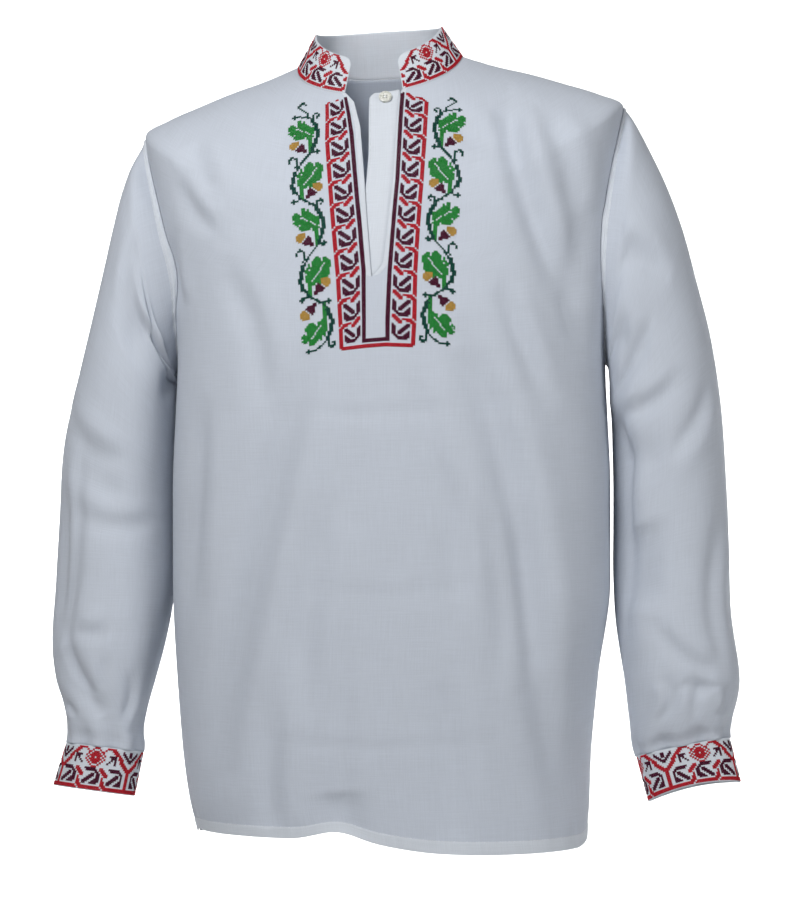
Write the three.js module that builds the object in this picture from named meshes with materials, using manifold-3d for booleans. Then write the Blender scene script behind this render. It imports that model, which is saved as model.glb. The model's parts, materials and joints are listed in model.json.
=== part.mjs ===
// Embroidered folk shirt, worn form with no wearer: a pullover body of a front and a back, two long
// sleeves gathered into cuffs, a stand collar, and a neck slit closed over a strip with one button.
// Millimetres, +Z up. The wearer faces -Y and the wearer's left is +X. The origin is the middle of
// the neck base, where the wearer's neck and shoulders hold the shirt up.
import * as THREE from "three";
import { mergeVertices } from "three/addons/utils/BufferGeometryUtils.js";
import Module from "manifold-3d";

const SINGLE_CLOTH = 1.5; // wall of the body and the sleeves
const DOUBLE_CLOTH = 2.0; // wall of the collar, the cuffs and the slit strip
const SEAM_GAP = 0.3; // room left between two sewn pieces
const SQUARE = 0.05; // how far a body section bulges towards a rectangle, share of its radius

// Body sections from the hem to the neck. side, front and back are the heights of a section at the
// side seam and at the front and back centre; half is its half width and middle its shift to the
// wearer's left; ahead and behind are its reach to the front and to the back; dip is the power that
// shapes its fall from side to centre.
const BODY = [
  { side: -754, front: -754, back: -756, half: 195, middle: 1, ahead: 119, behind: 117, dip: 2 },
  { side: -720, front: -720, back: -720, half: 200, middle: -2, ahead: 121, behind: 118, dip: 2 },
  { side: -658, front: -658, back: -658, half: 205, middle: -5, ahead: 124, behind: 119, dip: 2 },
  { side: -592, front: -592, back: -592, half: 211, middle: -4, ahead: 127, behind: 120, dip: 2 },
  { side: -500, front: -500, back: -500, half: 219, middle: 0, ahead: 131, behind: 122, dip: 2 },
  { side: -410, front: -410, back: -410, half: 219, middle: 0, ahead: 135, behind: 126, dip: 2 },
  { side: -335, front: -340, back: -338, half: 216, middle: 0, ahead: 138, behind: 131, dip: 2 },
  { side: -285, front: -286, back: -284, half: 214, middle: 0, ahead: 139, behind: 134, dip: 2 },
  { side: -200, front: -230, back: -215, half: 219, middle: 0, ahead: 137, behind: 135, dip: 2 },
  { side: -118, front: -180, back: -162, half: 230, middle: 0, ahead: 132, behind: 131, dip: 2 },
  { side: -43, front: -133, back: -112, half: 240, middle: 0, ahead: 122, behind: 122, dip: 2 },
  { side: -28, front: -108, back: -84, half: 216, middle: 0, ahead: 113, behind: 112, dip: 1.9 },
  { side: -16, front: -85, back: -58, half: 184, middle: 0, ahead: 103, behind: 101, dip: 1.8 },
  { side: -4, front: -62, back: -34, half: 150, middle: 0, ahead: 93, behind: 90, dip: 1.6 },
  { side: 6, front: -41, back: -12, half: 116, middle: 0, ahead: 83, behind: 78, dip: 1.4 },
  { side: 18, front: -22, back: 9, half: 83, middle: 0, ahead: 72, behind: 66, dip: 1.2 },
];
const ARMPIT = 7; // the section where the armholes end
const SHOULDER_TIP = 10; // the section where the shoulder seam meets the sleeve
const NECK = BODY.length - 1;
const ARMHOLE_BOW = 0.38; // how far round the armholes cut into the sections, radians

// The shoulders lean, the wearer's left one up, and the lean fades out down the chest.
const LEAN = 0.049; // rise over run
const LEAN_PIVOT = -200;
const LEAN_STARTS = -300;
const LEAN_FULL = -130;

// The neck slit's two edges, from its foot up: height, and where each edge lies from the middle.
const SLIT = [
  { height: -205, right: -3, left: -3 },
  { height: -193, right: -4, left: 8 },
  { height: -162, right: -5.5, left: 13 },
  { height: -110, right: -8, left: 19.5 },
  { height: -55, right: -12.5, left: 23.5 },
  { height: -30, right: -19, left: 25 },
  { height: -22, right: -27, left: 27 },
];
const SLIT_FOOT = 8.5; // place of the slit's foot among the sections

// Side vents: the seam opens below this section.
const VENT_TOP = 1.1;
const VENT_GAP = 5; // half the opening at the hem

// The hem isn't level: its front drops to the wearer's left of dropAt and is drawn up at notchAt.
const HEM_WAVE = {
  back: 5, backSpan: 70, drop: 7, dropAt: 20, dropSpan: 45, notch: 8, notchAt: -40, notchSpan: 28,
};
const HEM_WAVE_TOP = 1.6; // the section where the waves have faded out
const HEM_WAVE_FADE = 40; // how far from the side seams they start to fade

// Folds pressed into a face, each a soft trough along a line from (x1, z1) to (x2, z2). They fade
// out near the side seams and in the last sections below the neck.
const FOLD_FADE_SIDE = 25;
const FOLD_FADE_NECK = 1.5;
const FRONT_FOLDS = [
  { x1: -78, z1: -320, x2: -120, z2: -470, width: 26, depth: 8 },
  { x1: -120, z1: -470, x2: -160, z2: -650, width: 24, depth: 9 },
  { x1: 88, z1: -290, x2: 134, z2: -400, width: 24, depth: 8 },
  { x1: 134, z1: -400, x2: 150, z2: -540, width: 24, depth: 8 },
  { x1: 150, z1: -540, x2: 178, z2: -700, width: 24, depth: 8 },
  { x1: 134, z1: -50, x2: 138, z2: -95, width: 16, depth: 7 },
  { x1: 138, z1: -95, x2: 172, z2: -200, width: 18, depth: 10 },
  { x1: -184, z1: -60, x2: -160, z2: -110, width: 18, depth: 5 },
  { x1: -36, z1: -700, x2: -30, z2: -760, width: 24, depth: 7 },
];
const BACK_FOLDS = [
  { x1: -150, z1: -90, x2: -110, z2: -230, width: 24, depth: 8 },
  { x1: 160, z1: -80, x2: 126, z2: -215, width: 24, depth: 8 },
  { x1: -60, z1: -330, x2: -95, z2: -600, width: 28, depth: 9 },
  { x1: 22, z1: -420, x2: 36, z2: -756, width: 28, depth: 8 },
  { x1: 100, z1: -320, x2: 142, z2: -620, width: 26, depth: 10 },
];

// Sleeve sections from below the seam to the cuff, x counted outwards from the middle. outerX and
// outerZ place the outer side, innerX and innerZ the side next to the body; middle is how far back
// the section's middle lies, reach its half depth, and pitch the rise of its front edge, degrees.
const LEFT_SLEEVE = [
  { outerX: 242, outerZ: -44, innerX: 217, innerZ: -290, middle: 1, reach: 58, pitch: 0 },
  { outerX: 256, outerZ: -70, innerX: 217, innerZ: -296, middle: 3, reach: 63, pitch: 0 },
  { outerX: 275, outerZ: -110, innerX: 218, innerZ: -305, middle: 6, reach: 67, pitch: 0 },
  { outerX: 291, outerZ: -154, innerX: 218, innerZ: -318, middle: 9, reach: 69, pitch: 0 },
  { outerX: 304, outerZ: -203, innerX: 219, innerZ: -336, middle: 12, reach: 70, pitch: 0 },
  { outerX: 318, outerZ: -259, innerX: 220, innerZ: -364, middle: 15, reach: 70, pitch: 0 },
  { outerX: 328, outerZ: -326, innerX: 221, innerZ: -402, middle: 17, reach: 70, pitch: 0 },
  { outerX: 333, outerZ: -398, innerX: 221, innerZ: -446, middle: 18, reach: 68, pitch: 2 },
  { outerX: 336, outerZ: -465, innerX: 221, innerZ: -492, middle: 15, reach: 66, pitch: 4 },
  { outerX: 338, outerZ: -530, innerX: 224, innerZ: -542, middle: 8, reach: 64, pitch: 6 },
  { outerX: 346, outerZ: -586, innerX: 233, innerZ: -598, middle: 0, reach: 60, pitch: 7 },
  { outerX: 345, outerZ: -612, innerX: 237, innerZ: -630, middle: -5, reach: 53, pitch: 8 },
  { outerX: 338, outerZ: -636, innerX: 241, innerZ: -656, middle: -10, reach: 42, pitch: 8 },
  { outerX: 336, outerZ: -653, innerX: 246, innerZ: -672, middle: -13, reach: 30, pitch: 8 },
];
const RIGHT_SLEEVE = [
  { outerX: 258, outerZ: -76, innerX: 217, innerZ: -292, middle: 1, reach: 58, pitch: 0 },
  { outerX: 270, outerZ: -104, innerX: 217, innerZ: -298, middle: 3, reach: 63, pitch: 0 },
  { outerX: 280, outerZ: -140, innerX: 218, innerZ: -308, middle: 6, reach: 67, pitch: 0 },
  { outerX: 290, outerZ: -182, innerX: 218, innerZ: -322, middle: 8, reach: 69, pitch: 0 },
  { outerX: 303, outerZ: -235, innerX: 219, innerZ: -344, middle: 10, reach: 70, pitch: 0 },
  { outerX: 319, outerZ: -299, innerX: 220, innerZ: -376, middle: 12, reach: 70, pitch: 0 },
  { outerX: 334, outerZ: -367, innerX: 221, innerZ: -416, middle: 13, reach: 69, pitch: 0 },
  { outerX: 339, outerZ: -440, innerX: 221, innerZ: -458, middle: 12, reach: 67, pitch: 2 },
  { outerX: 342, outerZ: -508, innerX: 222, innerZ: -508, middle: 8, reach: 64, pitch: 4 },
  { outerX: 344, outerZ: -562, innerX: 229, innerZ: -556, middle: 2, reach: 61, pitch: 5 },
  { outerX: 339, outerZ: -600, innerX: 239, innerZ: -598, middle: -4, reach: 55, pitch: 6 },
  { outerX: 330, outerZ: -626, innerX: 246, innerZ: -626, middle: -9, reach: 47, pitch: 7 },
  { outerX: 326, outerZ: -648, innerX: 250, innerZ: -652, middle: -12, reach: 40, pitch: 7 },
  { outerX: 326, outerZ: -665, innerX: 250, innerZ: -673, middle: -14, reach: 35, pitch: 7 },
];
const SLEEVE_SQUARE = 0.03;
const GATHERS = 8; // soft gathers where each sleeve meets its cuff
const GATHER_DEPTH = 2.2;
const GATHER_RISE = 1.9; // sections that the gathers reach up from the cuff

// Sleeve folds: troughs from (turn1, along1) to (turn2, along2). A turn of 0 is the outer side,
// 0.25 the front, 0.5 the side by the body; along counts sections down from the armhole.
const TURN_LENGTH = 410; // millimetres in a full turn
const SECTION_LENGTH = 46; // millimetres between two sections
const LEFT_SLEEVE_FOLDS = [
  { turn1: 0.38, along1: 4.2, turn2: 0.24, along2: 4.9, width: 20, depth: 7 },
  { turn1: 0.4, along1: 6.4, turn2: 0.26, along2: 7.4, width: 20, depth: 7 },
  { turn1: 0.33, along1: 8.2, turn2: 0.34, along2: 9.9, width: 26, depth: 12 },
  { turn1: 0.24, along1: 11.2, turn2: 0.16, along2: 11.9, width: 16, depth: 6 },
  { turn1: 0.62, along1: 5.6, turn2: 0.76, along2: 6.6, width: 22, depth: 8 },
  { turn1: 0.66, along1: 8.2, turn2: 0.8, along2: 8.7, width: 22, depth: 8 },
];
const RIGHT_SLEEVE_FOLDS = [
  { turn1: 0.3, along1: 2.6, turn2: 0.24, along2: 4.6, width: 22, depth: 10 },
  { turn1: 0.14, along1: 7.0, turn2: 0.3, along2: 7.4, width: 18, depth: 5 },
  { turn1: 0.1, along1: 7.4, turn2: 0.13, along2: 10.2, width: 18, depth: 8 },
  { turn1: 0.13, along1: 10.2, turn2: 0.27, along2: 12.6, width: 18, depth: 8 },
  { turn1: 0.62, along1: 6.4, turn2: 0.78, along2: 7.2, width: 22, depth: 8 },
  { turn1: 0.68, along1: 9.2, turn2: 0.84, along2: 9.6, width: 22, depth: 7 },
];

// Cuffs: plain closed bands. Each goes on from its sleeve's last section to this lower one, whose
// front and back are drawn up by rise.
const LEFT_CUFF = {
  outerX: 347, outerZ: -696, innerX: 258, innerZ: -716, middle: -19, reach: 30, pitch: 8, rise: 6,
};
const RIGHT_CUFF = {
  outerX: 338, outerZ: -707, innerX: 258, innerZ: -717, middle: -20, reach: 35, pitch: 7, rise: 0,
};
const CUFF_OUT = 0.6; // the cuff stands this far outside the gathered sleeve's end

// Collar: a stand that leans in from the neck seam to its upper edge.
const COLLAR_TOP = { side: 50, front: 15, back: 57, half: 63, middle: 0, ahead: 51, behind: 62, dip: 1.3 };
const COLLAR_OPENING = 28; // half the gap between the collar's front ends
const COLLAR_CORNER = 9; // radius of the rounded upper corners at the front

// Strip behind the slit, sewn under the left edge and reaching under the right one.
const STRIP_TOP = -19.5;
const STRIP_BOTTOM = -214;
const STRIP_UNDER_LEFT = 4; // how far it goes on behind the slit's left edge
const STRIP_MOST_LEFT = 25.5; // its left edge stays this near the middle line, clear of the collar
const STRIP_GAP = 0.6; // room between the strip and the inside of the front
const STRIP_WIDTH = 30;
const STRIP_CORNER = 5; // radius of its free upper corner

const BUTTON_DIAMETER = 12.5;
const BUTTON_THICK = 2.6;
const BUTTON_RIM = 1.1; // width of the raised rim
const BUTTON_DISH = 0.7; // depth of the dish inside the rim
const BUTTON_HOLE = 1.4;
const BUTTON_HOLE_CIRCLE = 3.4;
const BUTTON_X = 11.5;
const BUTTON_Z = -26.4;

const smooth = (low, high, x) => {
  const t = Math.min(1, Math.max(0, (x - low) / (high - low)));
  return t * t * (3 - 2 * t);
};

// A smooth curve through the values of one column of a table, read at place t. It never swings
// past the values it joins.
function column(table, name, t) {
  const last = table.length - 1;
  const i = Math.min(last - 1, Math.max(0, Math.floor(t)));
  const value = (k) => table[Math.min(last, Math.max(0, k))][name];
  const slope = (k) => {
    const [before, after] = [value(k) - value(k - 1), value(k + 1) - value(k)];
    if (k === 0) return after;
    if (k === last) return before;
    return before * after > 0 ? (2 * before * after) / (before + after) : 0;
  };
  const f = t - i;
  const rise = value(i + 1) - value(i);
  const bend = 3 * rise - 2 * slope(i) - slope(i + 1);
  return value(i) + f * (slope(i) + f * (bend + f * (slope(i) + slope(i + 1) - 2 * rise)));
}

// A smooth curve from p1 to p2, with p0 before and p3 after them.
function spline(p0, p1, p2, p3, f) {
  const bend = 2 * p0 - 5 * p1 + 4 * p2 - p3 + f * (3 * (p1 - p2) + p3 - p0);
  return p1 + 0.5 * f * (p2 - p0 + f * bend);
}

// Depth of all folds of a table at the point (a, b) of the face they lie on.
function foldDepth(folds, a, b) {
  return folds.reduce((sum, { a1, b1, a2, b2, width, depth }) => {
    const [da, db] = [a2 - a1, b2 - b1];
    const along = ((a - a1) * da + (b - b1) * db) / (da * da + db * db);
    const t = Math.min(1, Math.max(0, along));
    const away = Math.hypot(a - a1 - t * da, b - b1 - t * db);
    return sum + depth * Math.exp(-((away / width) ** 2));
  }, 0);
}

const onFace = ({ x1, z1, x2, z2, width, depth }) => ({ a1: x1, b1: z1, a2: x2, b2: z2, width, depth });
const onSleeve = ({ turn1, along1, turn2, along2, width, depth }) => ({
  a1: turn1 * TURN_LENGTH,
  b1: along1 * SECTION_LENGTH,
  a2: turn2 * TURN_LENGTH,
  b2: along2 * SECTION_LENGTH,
  width,
  depth,
});
const frontFolds = FRONT_FOLDS.map(onFace);
const backFolds = BACK_FOLDS.map(onFace);

function leaned(p) {
  const share = LEAN * smooth(LEAN_STARTS, LEAN_FULL, p.z);
  return new THREE.Vector3(p.x - share * (p.z - LEAN_PIVOT), p.y, p.z + share * p.x);
}

// The outward normal of a surface given as a function of two parameters.
function normalOf(surface, a, b, sign) {
  const step = 0.004;
  const alongA = surface(a + step, b).sub(surface(a - step, b));
  const alongB = surface(a, b + step).sub(surface(a, b - step));
  return alongA.cross(alongB).normalize().multiplyScalar(sign);
}

// ---- Body -------------------------------------------------------------------------------------

// The smooth form under the folds. turn is the angle from the wearer's left, positive to the front.
function sectionPoint(section, turn) {
  const { side, front, back, half, middle, ahead, behind, dip } = section;
  const ease = 1 + SQUARE * Math.sin(2 * turn) ** 2;
  const across = Math.sin(turn);
  const centre = across > 0 ? front : back;
  const depth = across > 0 ? ahead : behind;
  const height = side + (centre - side) * Math.abs(across) ** dip;
  return new THREE.Vector3(middle + half * Math.cos(turn) * ease, -depth * across * ease, height);
}

function sectionAt(place) {
  const section = {};
  for (const name of Object.keys(BODY[0])) section[name] = column(BODY, name, place);
  return section;
}

// Heights follow the hem's waves in the lowest cloth.
function hemWave(x, front) {
  const { back, backSpan, drop, dropAt, dropSpan, notch, notchAt, notchSpan } = HEM_WAVE;
  if (!front) return back * Math.sin(x / backSpan);
  const drawnUp = notch * Math.exp(-(((x - notchAt) / notchSpan) ** 2));
  return 1 - drop * Math.tanh((x - dropAt) / dropSpan) + drawnUp;
}

const plainBody = (turn, place) => sectionPoint(sectionAt(place), turn);

function bodyPoint(turn, place) {
  const point = plainBody(turn, place);
  const front = Math.sin(turn) > 0;
  const normal = normalOf(plainBody, turn, Math.min(place, NECK - 0.01), -1);
  const depth = foldDepth(front ? frontFolds : backFolds, point.x, point.z);
  const fade = Math.min(1, Math.abs(point.y) / FOLD_FADE_SIDE) * smooth(0, FOLD_FADE_NECK, NECK - place);
  point.addScaledVector(normal, -depth * fade);
  const low = 1 - smooth(0, HEM_WAVE_TOP, place);
  point.z += low * hemWave(point.x, front) * Math.min(1, Math.abs(point.y) / HEM_WAVE_FADE);
  return leaned(point);
}

const bodyNormal = (turn, place) => normalOf(bodyPoint, turn, Math.min(place, NECK - 0.01), -1);

// The turn at which a face of the body starts, counted from its side seam or its armhole.
function edgeTurn(place, section) {
  const armhole = (place - ARMPIT) / (SHOULDER_TIP - ARMPIT);
  const bow = armhole > 0 && armhole < 1 ? ARMHOLE_BOW * Math.sin(Math.PI * armhole) ** 0.8 : 0;
  const vent = VENT_GAP * (1 - smooth(0, VENT_TOP, place));
  return bow + (SEAM_GAP / 2 + vent) / section.behind;
}

// ---- Sleeves ----------------------------------------------------------------------------------

const SIDES = {
  left: { sign: 1, table: LEFT_SLEEVE, cuff: LEFT_CUFF, folds: LEFT_SLEEVE_FOLDS.map(onSleeve) },
  right: { sign: -1, table: RIGHT_SLEEVE, cuff: RIGHT_CUFF, folds: RIGHT_SLEEVE_FOLDS.map(onSleeve) },
};

// A point of the armhole: share 0 is the shoulder tip, 0.25 the front and 0.5 the armpit.
function armhole(sign, share) {
  const down = share < 0.5 ? 2 * share : 2 - 2 * share;
  const place = SHOULDER_TIP - down * (SHOULDER_TIP - ARMPIT);
  const start = edgeTurn(place, sectionAt(place));
  const faceTurn = share < 0.5 ? start : -start;
  return { turn: sign > 0 ? faceTurn : Math.PI - faceTurn, place };
}

// A sleeve section is an oval set by its outer and inner sides.
function ovalPoint(sign, row, share) {
  const turn = 2 * Math.PI * share;
  const outer = new THREE.Vector3(sign * row.outerX, row.middle, row.outerZ);
  const inner = new THREE.Vector3(sign * row.innerX, row.middle, row.innerZ);
  const pitch = THREE.MathUtils.degToRad(row.pitch);
  const forward = new THREE.Vector3(0, -Math.cos(pitch), Math.sin(pitch));
  const ease = 1 + SLEEVE_SQUARE * Math.sin(2 * turn) ** 2;
  const across = outer.clone().sub(inner).multiplyScalar(0.5 * Math.cos(turn) * ease);
  const point = outer.add(inner).multiplyScalar(0.5).add(across);
  point.z += (row.rise ?? 0) * Math.sin(turn) ** 2;
  return point.addScaledVector(forward, row.reach * Math.sin(turn) * ease);
}

// The sleeve's form: the armhole's own loop first, then the ovals, joined by smooth lines.
function plainSleeve({ sign, table, cuff }, share, along) {
  const turnShare = ((share % 1) + 1) % 1;
  const ring = (k) => {
    if (k > table.length) return ovalPoint(sign, cuff, turnShare);
    if (k > 0) return ovalPoint(sign, table[k - 1], turnShare);
    const { turn, place } = armhole(sign, turnShare);
    return bodyPoint(turn, place);
  };
  const i = Math.min(table.length - 1, Math.max(0, Math.floor(along)));
  const [p1, p2, p3] = [ring(i), ring(i + 1), ring(i + 2)];
  const p0 = i > 0 ? ring(i - 1) : p1.clone().multiplyScalar(2).sub(p2);
  const f = along - i;
  const along3 = (axis) => spline(p0[axis], p1[axis], p2[axis], p3[axis], f);
  return new THREE.Vector3(along3("x"), along3("y"), along3("z"));
}

function sleevePoint(arm, share, along) {
  const point = plainSleeve(arm, share, along);
  const normal = normalOf((s, t) => plainSleeve(arm, s, t), share, Math.max(along, 0.01), arm.sign);
  const below = arm.table.length - along;
  const clear = smooth(0.1, 0.9, along) * smooth(-0.2, 0.6, below);
  const depth = foldDepth(arm.folds, share * TURN_LENGTH, along * SECTION_LENGTH) * clear;
  const nearCuff = 1 - smooth(0.15, GATHER_RISE, below);
  const gathered = GATHER_DEPTH * nearCuff * Math.cos(2 * Math.PI * GATHERS * share);
  return point.addScaledVector(normal, gathered - depth);
}

const sleeveNormal = (arm, share, along) =>
  normalOf((s, t) => sleevePoint(arm, s, t), share, Math.max(along, 0.01), arm.sign);

// The sewn edges share one normal, so that the walls of the body and the sleeve stay apart.
function armholeNormal(arm, share) {
  const { turn, place } = armhole(arm.sign, share);
  return bodyNormal(turn, place).add(sleeveNormal(arm, share, 0.05)).normalize();
}

// ---- Walls ------------------------------------------------------------------------------------

// A closed wall from points on its outer face, their normals, and the triangles that join them.
function wall(points, normals, triangles, thickness) {
  const count = points.length;
  const inner = points.map((p, k) => p.clone().addScaledVector(normals[k], -thickness));
  const faces = [...triangles];
  triangles.forEach(([a, b, c]) => faces.push([a + count, c + count, b + count]));
  const directed = new Set();
  triangles.forEach(([a, b, c]) => [[a, b], [b, c], [c, a]].forEach(([p, q]) => directed.add(p + "," + q)));
  for (const edge of directed) {
    const [p, q] = edge.split(",").map(Number);
    if (directed.has(q + "," + p)) continue;
    faces.push([q, p, p + count], [q, p + count, q + count]);
  }
  const geometry = new THREE.BufferGeometry();
  const numbers = [...points, ...inner].flatMap((p) => p.toArray());
  geometry.setAttribute("position", new THREE.Float32BufferAttribute(numbers, 3));
  geometry.setIndex(faces.flat());
  geometry.computeVertexNormals();
  return geometry;
}

// Two triangles for each cell of a grid, whose corners are given by their vertex numbers.
function gridTriangles(rows, columns, vertex) {
  const triangles = [];
  for (let r = 0; r < rows; r++) {
    for (let c = 0; c < columns; c++) {
      const [a, b, d, e] = [vertex(r, c), vertex(r, c + 1), vertex(r + 1, c + 1), vertex(r + 1, c)];
      triangles.push([a, b, d], [a, d, e]);
    }
  }
  return triangles;
}

const turned = (triangles) => triangles.map(([a, b, c]) => [a, c, b]);

// Places of the rows: the hem to the armpit, then the armhole, then the shoulder up to the neck.
const LOWER_ROWS = 11;
const ARMHOLE_ROWS = 16;
const SHOULDER_ROWS = 7;
const evenly = (from, to, steps) => Array.from({ length: steps }, (_, k) => from + ((to - from) * k) / steps);
const PLACES = [
  ...evenly(0, ARMPIT, LOWER_ROWS),
  ...evenly(ARMPIT, SHOULDER_TIP, ARMHOLE_ROWS),
  ...evenly(SHOULDER_TIP, NECK, SHOULDER_ROWS),
  NECK,
];
const HALF_COLUMNS = 12;
const BACK_COLUMNS = 18;

// The turn of a slit edge on a section: side is "left" or "right" of the wearer.
function slitTurn(side, place) {
  const section = sectionAt(place);
  const i = Math.max(0, SLIT.findLastIndex((row) => row.height <= section.front));
  const [low, high] = [SLIT[i], SLIT[Math.min(i + 1, SLIT.length - 1)]];
  const span = high.height - low.height || 1;
  const x = low[side] + ((high[side] - low[side]) * Math.max(0, section.front - low.height)) / span;
  return Math.PI / 2 - Math.asin(x / section.half);
}

// One normal for each point of a face: along the armhole it is the one shared with the sleeve.
function faceNormal(turn, place, atEdge, sign, front) {
  const onArmhole = atEdge && place >= ARMPIT && place <= SHOULDER_TIP;
  if (!onArmhole) return bodyNormal(turn, place);
  const down = (SHOULDER_TIP - place) / (SHOULDER_TIP - ARMPIT) / 2;
  return armholeNormal(sign > 0 ? SIDES.left : SIDES.right, front ? down : (1 - down) % 1);
}

function frontGeometry() {
  const points = [];
  const normals = [];
  const numbers = new Map();
  const slitRow = PLACES.findIndex((place) => place >= SLIT_FOOT - 1e-9);
  const vertex = (sign, r, c) => {
    const joined = c === HALF_COLUMNS && r <= slitRow;
    const key = (joined ? "middle" : sign) + ":" + r + ":" + c;
    if (numbers.has(key)) return numbers.get(key);
    const place = PLACES[r];
    const start = edgeTurn(place, sectionAt(place));
    const foot = slitTurn("right", SLIT_FOOT);
    const leftEnd = r <= slitRow ? foot : slitTurn("left", place);
    const rightEnd = r <= slitRow ? foot : slitTurn("right", place);
    const from = sign > 0 ? start : Math.PI - start;
    const to = sign > 0 ? leftEnd : rightEnd;
    const turn = from + ((to - from) * c) / HALF_COLUMNS;
    points.push(bodyPoint(turn, place));
    normals.push(faceNormal(turn, place, c === 0, sign, true));
    numbers.set(key, points.length - 1);
    return points.length - 1;
  };
  const rows = PLACES.length - 1;
  const left = gridTriangles(rows, HALF_COLUMNS, (r, c) => vertex(1, r, c));
  const right = gridTriangles(rows, HALF_COLUMNS, (r, c) => vertex(-1, r, c));
  return wall(points, normals, [...turned(left), ...right], SINGLE_CLOTH);
}

function backGeometry() {
  const points = [];
  const normals = [];
  const columns = BACK_COLUMNS;
  PLACES.forEach((place) => {
    const start = edgeTurn(place, sectionAt(place));
    for (let c = 0; c <= columns; c++) {
      const turn = -start - ((Math.PI - 2 * start) * c) / columns;
      points.push(bodyPoint(turn, place));
      const sign = c === 0 ? 1 : -1;
      normals.push(faceNormal(turn, place, c === 0 || c === columns, sign, false));
    }
  });
  const triangles = gridTriangles(PLACES.length - 1, columns, (r, c) => r * (columns + 1) + c);
  return wall(points, normals, triangles, SINGLE_CLOTH);
}

const SLEEVE_ROWS = 24;
const SLEEVE_COLUMNS = 2 * ARMHOLE_ROWS;

function sleeveGeometry(arm) {
  const points = [];
  const normals = [];
  for (let r = 0; r <= SLEEVE_ROWS; r++) {
    const along = (arm.table.length * r) / SLEEVE_ROWS;
    for (let c = 0; c < SLEEVE_COLUMNS; c++) {
      const share = c / SLEEVE_COLUMNS;
      const point = sleevePoint(arm, share, along);
      if (r === 0) point.add(sleevePoint(arm, share, 0.1).sub(point).setLength(2 * SEAM_GAP));
      points.push(point);
      normals.push(r === 0 ? armholeNormal(arm, share) : sleeveNormal(arm, share, along));
    }
  }
  const number = (r, c) => r * SLEEVE_COLUMNS + (c % SLEEVE_COLUMNS);
  const triangles = gridTriangles(SLEEVE_ROWS, SLEEVE_COLUMNS, number);
  return wall(points, normals, arm.sign > 0 ? triangles : turned(triangles), SINGLE_CLOTH);
}

// ---- Cuffs, collar, strip and button ----------------------------------------------------------

const CUFF_ROWS = 3;
const CUFF_COLUMNS = 32;

function cuffPoint({ sign, table, cuff }, share, down) {
  const upper = ovalPoint(sign, table[table.length - 1], share);
  const lower = ovalPoint(sign, cuff, share);
  return upper.lerp(lower, down);
}

function cuffGeometry(arm) {
  const points = [];
  const normals = [];
  const length = cuffPoint(arm, 0, 0).distanceTo(cuffPoint(arm, 0, 1));
  for (let r = 0; r <= CUFF_ROWS; r++) {
    const down = (SEAM_GAP / length) * (1 - r / CUFF_ROWS) + r / CUFF_ROWS;
    for (let c = 0; c < CUFF_COLUMNS; c++) {
      const share = c / CUFF_COLUMNS;
      const normal = normalOf((s, t) => cuffPoint(arm, s, t), share, down, arm.sign);
      points.push(cuffPoint(arm, share, down).addScaledVector(normal, CUFF_OUT));
      normals.push(normal);
    }
  }
  const number = (r, c) => r * CUFF_COLUMNS + (c % CUFF_COLUMNS);
  const triangles = gridTriangles(CUFF_ROWS, CUFF_COLUMNS, number);
  return wall(points, normals, arm.sign > 0 ? triangles : turned(triangles), DOUBLE_CLOTH);
}

const COLLAR_ROWS = 5;
const COLLAR_COLUMNS = 36;

// A point of the collar: turn as on the body, rise 0 at the neck seam and 1 at the upper edge.
function collarPoint(turn, rise) {
  const lower = sectionPoint(BODY[NECK], turn);
  const upper = sectionPoint(COLLAR_TOP, turn);
  return leaned(lower.lerp(upper, rise));
}

function collarGeometry() {
  const points = [];
  const normals = [];
  const endTurn = Math.PI / 2 - Math.asin(COLLAR_OPENING / BODY[NECK].half);
  const height = collarPoint(endTurn, 1).distanceTo(collarPoint(endTurn, 0));
  const sweep = 2 * Math.PI - 2 * (Math.PI / 2 - endTurn);
  for (let c = 0; c <= COLLAR_COLUMNS; c++) {
    const turn = endTurn - (sweep * c) / COLLAR_COLUMNS;
    const fromEnd = (Math.min(c, COLLAR_COLUMNS - c) / COLLAR_COLUMNS) * sweep * COLLAR_TOP.half;
    const inCorner = Math.max(0, COLLAR_CORNER - fromEnd);
    const cut = COLLAR_CORNER - Math.sqrt(COLLAR_CORNER ** 2 - inCorner ** 2);
    const top = 1 - cut / height;
    for (let r = 0; r <= COLLAR_ROWS; r++) {
      const low = (1.5 * SEAM_GAP) / height;
      const rise = low + ((top - low) * r) / COLLAR_ROWS;
      points.push(collarPoint(turn, rise));
      normals.push(normalOf(collarPoint, turn, rise, -1));
    }
  }
  const number = (c, r) => c * (COLLAR_ROWS + 1) + r;
  return wall(points, normals, turned(gridTriangles(COLLAR_COLUMNS, COLLAR_ROWS, number)), DOUBLE_CLOTH);
}

// The place among the sections where the front's middle line has this height.
function placeAtHeight(height) {
  let [low, high] = [0, NECK];
  while (high - low > 1e-6) {
    const middle = (low + high) / 2;
    if (sectionAt(middle).front < height) low = middle;
    else high = middle;
  }
  return low;
}

const STRIP_ROWS = 12;
const STRIP_COLUMNS = 3;

// A point under the front's inner face, at a distance x from the middle line. Above the neck edge
// it goes straight on upwards.
function underFront(x, height, depth) {
  const place = placeAtHeight(height);
  const turn = Math.PI / 2 - Math.asin(x / sectionAt(place).half);
  const normal = bodyNormal(turn, place);
  const point = bodyPoint(turn, place).addScaledVector(normal, -depth);
  const above = Math.max(0, height - BODY[NECK].front);
  const upwards = bodyPoint(turn, place).sub(bodyPoint(turn, place - 0.2)).setLength(above);
  return { point: point.add(upwards), normal };
}

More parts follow.
